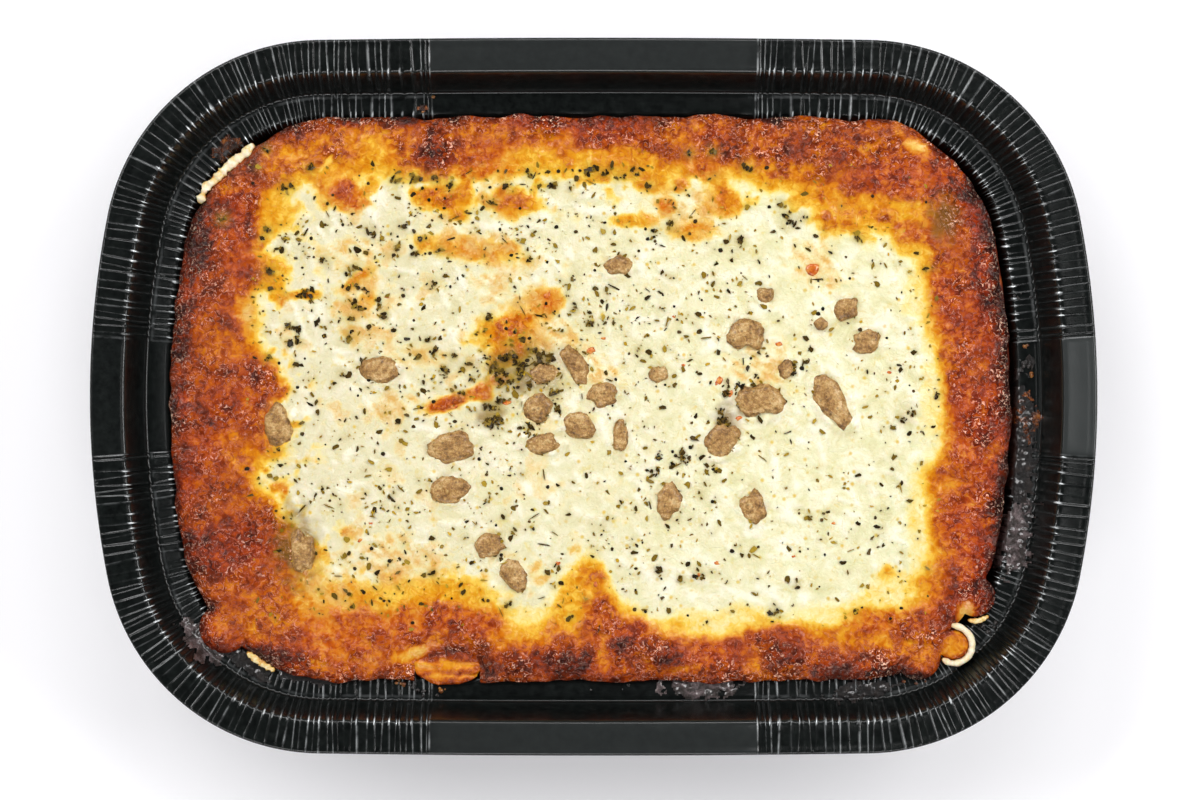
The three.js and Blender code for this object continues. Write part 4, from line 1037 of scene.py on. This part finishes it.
leafy = driedHerb("dried oregano", [(0, "#261b08"), (0.3, "#453410"), (0.55, "#665016"), (0.8, "#8a6f1e"),
                                    (1, "#ad9030")], 0.6)
wet = driedHerb("wet oregano", [(0, "#1d1508"), (0.4, "#3a2b0e"), (0.75, "#5e4817"), (1, "#957a2a")], 0.35)
golden = driedHerb("oil-stained oregano", [(0, "#6e5410"), (0.5, "#9d7d18"), (1, "#c8a22c")], 0.6)
peppery = driedHerb("ground black pepper", [(0, "#140f08"), (0.6, "#2b2010"), (1, "#5c431d")], 0.55)


def clumpPlaces():  # each large flake is a clump of overlapping crumbs
    random.seed(67)
    places = []
    clumps = list(herbs["large"])
    for x, y, halfLength, halfWidth, count in herbs["wetHeaps"]:
        for k in range(count):
            out, angle = math.sqrt(random.random()), random.uniform(0, 2 * math.pi)
            clumps.append((x + out * halfLength * math.cos(angle), y + out * halfWidth * math.sin(angle),
                           random.uniform(1.6, 3.4), random.uniform(0, 180)))
    for x, y, size, turn in clumps:
        c, s = cosSin(turn)
        for k in range(int(2 + 2.2 * size)):
            along, across = random.uniform(-0.5, 0.5) * size, random.uniform(-0.22, 0.22) * size
            places.append((x + along * c - across * s, y + along * s + across * c))
    heights = topAt([x for x, y in places], [y for x, y in places])
    return [(x, y, z + random.uniform(0, 0.25)) for (x, y), z in zip(places, heights)]


def addHerbs(name, shape, material, smooth=False):
    addPiece(name, shape, material, "dried_herbs", "cheese_crust", smooth=smooth)


# places, seed, shortest and longest, slimmest and widest as shares of that, thickness
addHerbs("herbClumps", flakeShapes(clumpPlaces(), 68, (0.8, 2.5), (0.35, 0.8), 0.25), wet)
addHerbs("herbFlakes", flakeShapes(flakePlaces, 62, (0.7, 2.9), (0.3, 0.75), 0.2), leafy)
goldenPlaces = scatter(herbs["golden"], 69, 0.5)
addHerbs("goldenFlakes", flakeShapes(goldenPlaces, 70, (0.5, 1.9), (0.3, 0.75), 0.15), golden)
addHerbs("herbStems", flakeShapes(scatter(herbs["stems"], 63, 0.4), 64, (2.4, 5.5), (0.09, 0.17), 0.3), leafy)
addHerbs("pepperGrains", grainShapes(scatter(herbs["pepper"], 65, 0.6), 66, (0.6, 1.3)), peppery, True)
print("herbs ready")

tomato = {
    "sunk": 0.5, "seed": 71,
    "bits": [  # x, y, length, width, turn in degrees
        (-0.7, 13.8, 3.4, 2.4, 20), (65.6, 38.2, 5.4, 4.6, 0), (37.6, 4.6, 3.8, 2.4, 60),
        (55.6, 15.8, 3, 2, 0), (93.4, 48.6, 3.4, 2.4, 30), (-26, -1.6, 3.4, 2.2, 15), (-42, -3, 3.2, 1.6, 10),
        (-14, 30.5, 3.4, 2, 30), (88.7, 7.3, 2, 1.4, 0), (-70, -43, 2.6, 1.8, 40), (-67, -38, 2.2, 1.4, 0),
        (0.7, -56.3, 2.6, 1.8, 80), (37, -50, 2.6, 1.8, 0), (31.5, -53.5, 2.2, 1.4, 70),
        (-10.8, -50, 2.4, 1.6, 20), (72, -38, 2, 1.4, 0), (60, -48, 2, 1.2, 0), (-25, 19, 2.8, 1.8, 45),
        (-62, 30, 2.4, 1.4, 0), (24, 24, 1.8, 1.2, 0), (41.2, 1, 3.2, 1.8, 50), (43.6, -6.5, 2.6, 1.6, 20),
        (27, 9.4, 2, 1.4, 0), (3, 17.5, 2.2, 1.2, 0),
    ],
}
# Diced tomato baked soft: orange-red, wet and a little translucent.
cookedTomato = mottledFood("cooked tomato", {
    "IOR": 1.4, "Roughness": 0.25, "Subsurface Weight": 0.15, "Subsurface Scale": 1.5 * mm,
    "Coat Weight": 0.8, "Coat Roughness": 0.08},
    {"grain": 1.6, "Detail": 3}, [(0.32, "#a8420f"), (0.5, "#cf6c22"), (0.7, "#e09a4c")])
points, faces = [], []
for k, bit in enumerate(tomato["bits"]):
    bitPoints, bitFaces = makeChunk(*bit, tomato["seed"] + k)[:2]
    faces += [[len(points) + n for n in face] for face in bitFaces]
    points += (bitPoints - [0, 0, tomato["sunk"]]).tolist()
addPiece("tomatoBits", (points, faces), cookedTomato, "diced_tomato", "cheese_crust")
print("tomato ready")

# The edges of pasta sheet that show round the bake.
pasta = {
    "thickness": 1.5, "gap": 0.3, "seed": 81, "spacing": 0.35,
    # a strip's section: across and up, as shares of its half width and height
    "section": [
        (-0.75, 0), (-1, 0.3), (-1, 0.75), (-0.7, 0.95), (0, 1), (0.7, 0.95), (1, 0.72), (1, 0.3), (0.75, 0)],
    # each strip's node, heights, width, raggedness and wave, then its path or its reach along the rim
    "strips": {
        "ruffleFrontRight": ("pasta_ruffle_front_right", (37.4, 40.4), 1.9, 0.15, 0.15, [
            (107.2, -68.6), (110.4, -69.4), (113, -71.8), (113.7, -75), (112.6, -78), (110, -79.8),
            (107.2, -80), (104.8, -78.8)]),
        "crescentFrontRight": ("pasta_crescent_front_right", (37.4, 39), 1.5, 0.2, 0, [
            (112.6, -67.2), (115.6, -67.4), (118.8, -66)]),
        "ruffleBackLeft": ("pasta_ruffle_back_left", (37.6, 39.6), 2.5, 0.4, 0.35,
                           (2 * quarter - 108, 2 * quarter - 66)),
        "cornerFrontLeft": ("pasta_corner_front_left", (37.5, 39), 1.8, 0.4, 0.2,
                            (2 * quarter + 106, 2 * quarter + 124)),
    },
    # the bare sheet at the front: middle, half length and width, then share of them and height of each ring
    "sheet": (-44, -81.4, 10.2, 5.4), "sheetRings": [
        (0.96, 37.35), (1, 37.7), (0.97, 38.2), (0.88, 38.6), (0.7, 38.7), (0.5, 38.55), (0.3, 38.6),
        (0.12, 38.65)],
}


def smoothPath(points, step):  # Catmull-Rom through the points, evenly spaced
    p = np.array([points[0]] + list(points) + [points[-1]], float)
    out = []
    for k in range(1, len(p) - 2):
        a, b, c, d = p[k - 1:k + 3]
        for t in np.linspace(0, 1, 12, endpoint=False):
            square, cube = (2 * a - 5 * b + 4 * c - d) * t ** 2, (3 * b - a - 3 * c + d) * t ** 3
            out.append(0.5 * (2 * b + (c - a) * t + square + cube))
    out = np.array(out + [p[-1]])
    along = np.concatenate([[0], np.cumsum(np.hypot(*np.diff(out, axis=0).T))])
    even = np.linspace(0, along[-1], max(6, int(along[-1] / step)))
    return np.stack([np.interp(even, along, out[:, 0]), np.interp(even, along, out[:, 1])], 1)


def makeRibbon(path, heights, width, ragged, wave, seed):
    low, high = heights
    line = smoothPath(path, pasta["spacing"])
    ahead = np.gradient(line, axis=0)
    ahead /= np.hypot(*ahead.T)[:, None]
    side = np.stack([-ahead[:, 1], ahead[:, 0]], 1)
    count = len(line)
    t = np.linspace(0, 1, count)
    ends = np.clip(np.minimum(t, 1 - t) * count / 5, 0, 1) ** 0.5
    torn = softNoise(t * 40, t * 0 + 1.3, 2.6, seed + 1) + 0.7 * softNoise(t * 40, t * 0 + 0.4, 1, seed + 2)
    half = width / 2 * (1 + ragged * torn)
    lift = wave * np.sin(np.arange(count) * 0.8 + 0.6 * softNoise(t * 30, t * 0, 4, seed))
    lift += 0.12 * softNoise(t * 40, t * 0, 3, seed)
    rings = []
    for across, up in pasta["section"]:
        reach = across * half * (0.35 + 0.65 * ends)
        z = low + (high - low) * up * (0.55 + 0.45 * ends) + lift * up
        rings.append(np.stack([line[:, 0] + side[:, 0] * reach, line[:, 1] + side[:, 1] * reach, z], 1))
    points = np.concatenate(rings)
    rough = softNoise(points[:, 0], points[:, 1], 0.9, seed + 3)
    points[:, 2] += ragged * 0.5 * rough * (points[:, 2] > low + 0.5)
    rows, faces = np.arange(len(points)).reshape(-1, count), []
    for a, b in zip(rows, np.roll(rows, -1, 0)):
        faces += quads(a[:-1], a[1:], b[1:], b[:-1])
    return points, faces + [rows[:, 0].tolist(), rows[::-1, -1].tolist()]


def boiledPasta():
    # A durum wheat sheet, boiled and baked: pale cream where it is bare, golden where it has dried.
    material, tree, shader, place = newMaterial("lasagne sheet", {
        "IOR": 1.45, "Roughness": 0.38, "Subsurface Weight": 0.2, "Subsurface Scale": 1.5 * mm,
        "Coat Weight": 0.4, "Coat Roughness": 0.12})
    tint = addNode(tree, "TexNoise", {"Vector": place, "grain": 2.4, "Detail": 5, "Roughness": 0.7})
    high = addNode(tree, "SeparateXYZ", {"Vector": place}, "Z")
    # the strip is drawn darker and browner towards its foot, by height alone
    rise = addNode(tree, "MapRange", {"Value": high, "From": (37.6 * mm, 39.6 * mm), "To": (-0.35, 0.25)})
    total = addNode(tree, "Math", {"operation": "ADD", "use_clamp": True, 0: tint, 1: rise})
    colour = addNode(tree, "ValToRGB", {"Fac": total, "stops": [
        (0.1, "#5a2c10"), (0.34, "#b87828"), (0.5, "#e2b864"), (0.64, "#ecd8a6"), (0.84, "#f3e8cf")]})
    bump = addNode(tree, "Bump", {"Height": tint, "Strength": 0.3, "Distance": 0.3 * mm})
    giveSettings(shader, {"Base Color": colour, "Normal": bump})
    return material


def alongEdge(start, end):  # a path just outside the crust's edge
    path = []
    for distance in np.arange(start, end, 3):
        inset = 18.0
        for step in range(40):
            x, y = rimPoint(distance, inset)
            if crustInside(np.array([x]), np.array([y]))[0] > -(pasta["gap"] + pasta["thickness"] / 2):
                break
            inset += 0.25
        path.append((float(x), float(y)))
    return path


sheet = boiledPasta()
for name, (node, heights, width, ragged, wave, course) in pasta["strips"].items():
    path = course if isinstance(course, list) else alongEdge(*course)
    addPiece(name, makeRibbon(path, heights, width, ragged, wave, pasta["seed"]), sheet, "boiled_pasta", node)


def makeBarePasta():
    bx, by, halfLength, halfWidth = pasta["sheet"]
    around = np.linspace(0, 2 * math.pi, 72, endpoint=False)
    ragged = 1 + layered(np.cos(around) * 3, np.sin(around) * 3, (0.08, 1.3, 83), (0.05, 0.5, 86))
    rings = []
    for share, z in pasta["sheetRings"]:
        x = bx + halfLength * share * ragged * np.cos(around)
        y = by + halfWidth * share * ragged * np.sin(around)
        fold = 0.28 * np.sin(y * 1.9 + 0.3 * x) * (z > 38)
        rings.append(np.stack([x, y, z + fold], 1))
    points, faces = stackRings(rings)
    x, y = points[:, 0], points[:, 1] + 0.5 * softNoise(points[:, 0], points[:, 1], 3, 84)
    line = 0.6 * np.exp(-((y + 84) / 0.5) ** 2) * between(-52, -50, x)  # the sheet's bare cut edge
    toast, red = toastAt(x, y, np.full(len(x), 6.0))[:2]
    toast += 0.2 * between(-80.2, -78.6, y) + 0.08 * softNoise(x, y, 2.4, 85)
    toast += (0.16 - toast) * line
    # the sheet takes a share of the crust's painted highlight strokes too
    return points, faces, {"toast": toast, "red": red, "dry": np.full(len(x), 0.3)}


addPiece("pastaSheetFront", makeBarePasta(), cheese, "boiled_pasta", "pasta_sheet_front")
print("pasta ready")

# Sauce burnt onto the foil.
residue = {
    "cell": 0.5, "bubble": 1.9, "inner": 25, "outer": 11.2,
    # x, y, half length, half width, turn, thickness
    "char": [
        (128, -14, 5, 22, 4, 1.0), (81, -88.6, 11, 2.6, 8, 0.6), (-85, -84.2, 12, 2.6, -6, 0.7),
        (131, 8, 2, 5, 0, 0.4), (-104, -80, 9, 3, -35, 0.8),
    ], "froth": [
        (33, -86.6, 12.5, 4.6, 0, 1.1), (126.5, -43, 5, 11, -12, 1.0), (-118, -73.4, 3.6, 9, 42, 1.5),
    ], "caramel": [
        (129.5, -7, 4.4, 7.5, 0, 0.9), (-111, 74, 5, 3.4, 40, 0.5), (-51.6, 86.6, 2.2, 1.2, 0, 0.5),
    ],
}
# the ledge's and the wall's inset and height
sectionTop = np.array([row[:2] for row in foil["section"][9:34]]).T


def makeResidue(patches, seed):
    points, faces, cell = [], [], residue["cell"]
    for cx, cy, halfLength, halfWidth, turn, thickness in patches:
        reach = max(halfLength, halfWidth) + 2
        side = np.arange(-reach, reach, cell)
        gx, gy = np.meshgrid(side + cx, side + cy)
        inset = rimInset(gx, gy)[0]
        ground = np.interp(inset, *sectionTop)
        ring = turned(gx, gy, cx, cy, halfLength, halfWidth, turn)
        ragged = ring + layered(gx, gy, (0.45, 3.5, seed), (0.3, 1.5, seed + 1))
        froth, own = bubbles(gx, gy, residue["bubble"], seed + 2)
        lumps = 0.35 + 0.65 * froth * own + 0.5 * softNoise(gx, gy, 3, seed + 3)
        rise = thickness * np.clip((1.05 - ragged) * 1.6, 0, 1) ** 0.6 * np.clip(lumps, 0.15, 1.4)
        onFoil = (inset > residue["outer"]) & (inset < residue["inner"]) & (crustInside(gx, gy) < 0.8)
        keep = (ragged < 1.05) & onFoil
        cells, used = cellFaces(wholeCells(keep), len(points))
        points += np.stack([gx, gy, ground + 0.08 + rise], -1).reshape(-1, 3)[used].tolist()
        faces += cells.tolist()
    return points, faces


# Spatters and crumbs on the ledge: x, y, spread and how many.
spatters = {
    "ledge": (15.6, 22),  # insets of its outer and inner edge
    "burnt": [
        (-53, -87.5, 7, 14), (80, -89, 10, 22), (128, 10, 3, 14), (-112, 72, 5, 8), (118, -70, 6, 12),
        (20, -87, 14, 12), (-100, -78, 8, 10), (129, 30, 3, 6),
    ], "golden": [
        (-57, -86.5, 2.5, 5), (85.3, -88.3, 0.5, 1), (130, 15.5, 1.2, 3), (132, 7, 1, 2), (-43, -88, 3, 3),
        (94, -88, 6, 4), (-52, 87.5, 3, 2), (127, -5, 3, 8),
    ],
}


def spatterPlaces(groups, seed):
    random.seed(seed)
    places, (outer, inner) = [], spatters["ledge"]
    for x, y, spread, count in groups:
        for k in range(count):
            px, py = x + random.gauss(0, 0.6) * spread, y + random.gauss(0, 0.3) * spread
            spot = np.array([px]), np.array([py])
            inset = float(rimInset(*spot)[0][0])
            if outer < inset < inner and crustInside(*spot)[0] < 0:
                places.append((px, py, float(np.interp(inset, *sectionTop))))
    return places


# Sauce that boiled over and burnt onto the foil: a bubbly black and brown film, shiny where it is sticky.
for name, key, seed, finish, rough, coat, stops in (
        ("charOnFoil", "char", 91, "charred sauce", 0.3, 0.9, [
            (0.35, "#0b0909"), (0.5, "#191413"), (0.64, "#2f2622"), (0.78, "#5b4a3f")]),
        ("frothOnFoil", "froth", 93, "dried froth", 0.3, 1, [
            (0.32, "#171210"), (0.46, "#372e2b"), (0.59, "#67595a"), (0.74, "#a89c98")]),
        ("caramelOnFoil", "caramel", 95, "caramelised sauce", 0.2, 1, [
            (0.36, "#120a07"), (0.5, "#43200e"), (0.6, "#86471a"), (0.72, "#c07f32")])):
    settings = {"IOR": 1.45, "Roughness": rough, "Coat Weight": coat, "Coat Roughness": 0.08}
    pattern = {"grain": 2.5, "Detail": 5, "Roughness": 0.7}
    material = mottledFood(finish, settings, pattern, stops, (1, 1.6))
    addPiece(name, makeResidue(residue[key], seed), material, "burnt_sauce")
for name, places, sizes, material in (
        ("burntSpatter", spatterPlaces(spatters["burnt"], 97), (0.6, 1.7), "charred sauce"),
        ("goldenSpatter", spatterPlaces(spatters["golden"], 98), (0.7, 1.6), "lasagne sheet")):
    addPiece(name, grainShapes(places, 99, sizes)[:2], bpy.data.materials[material], "burnt_sauce")
print("residue ready")
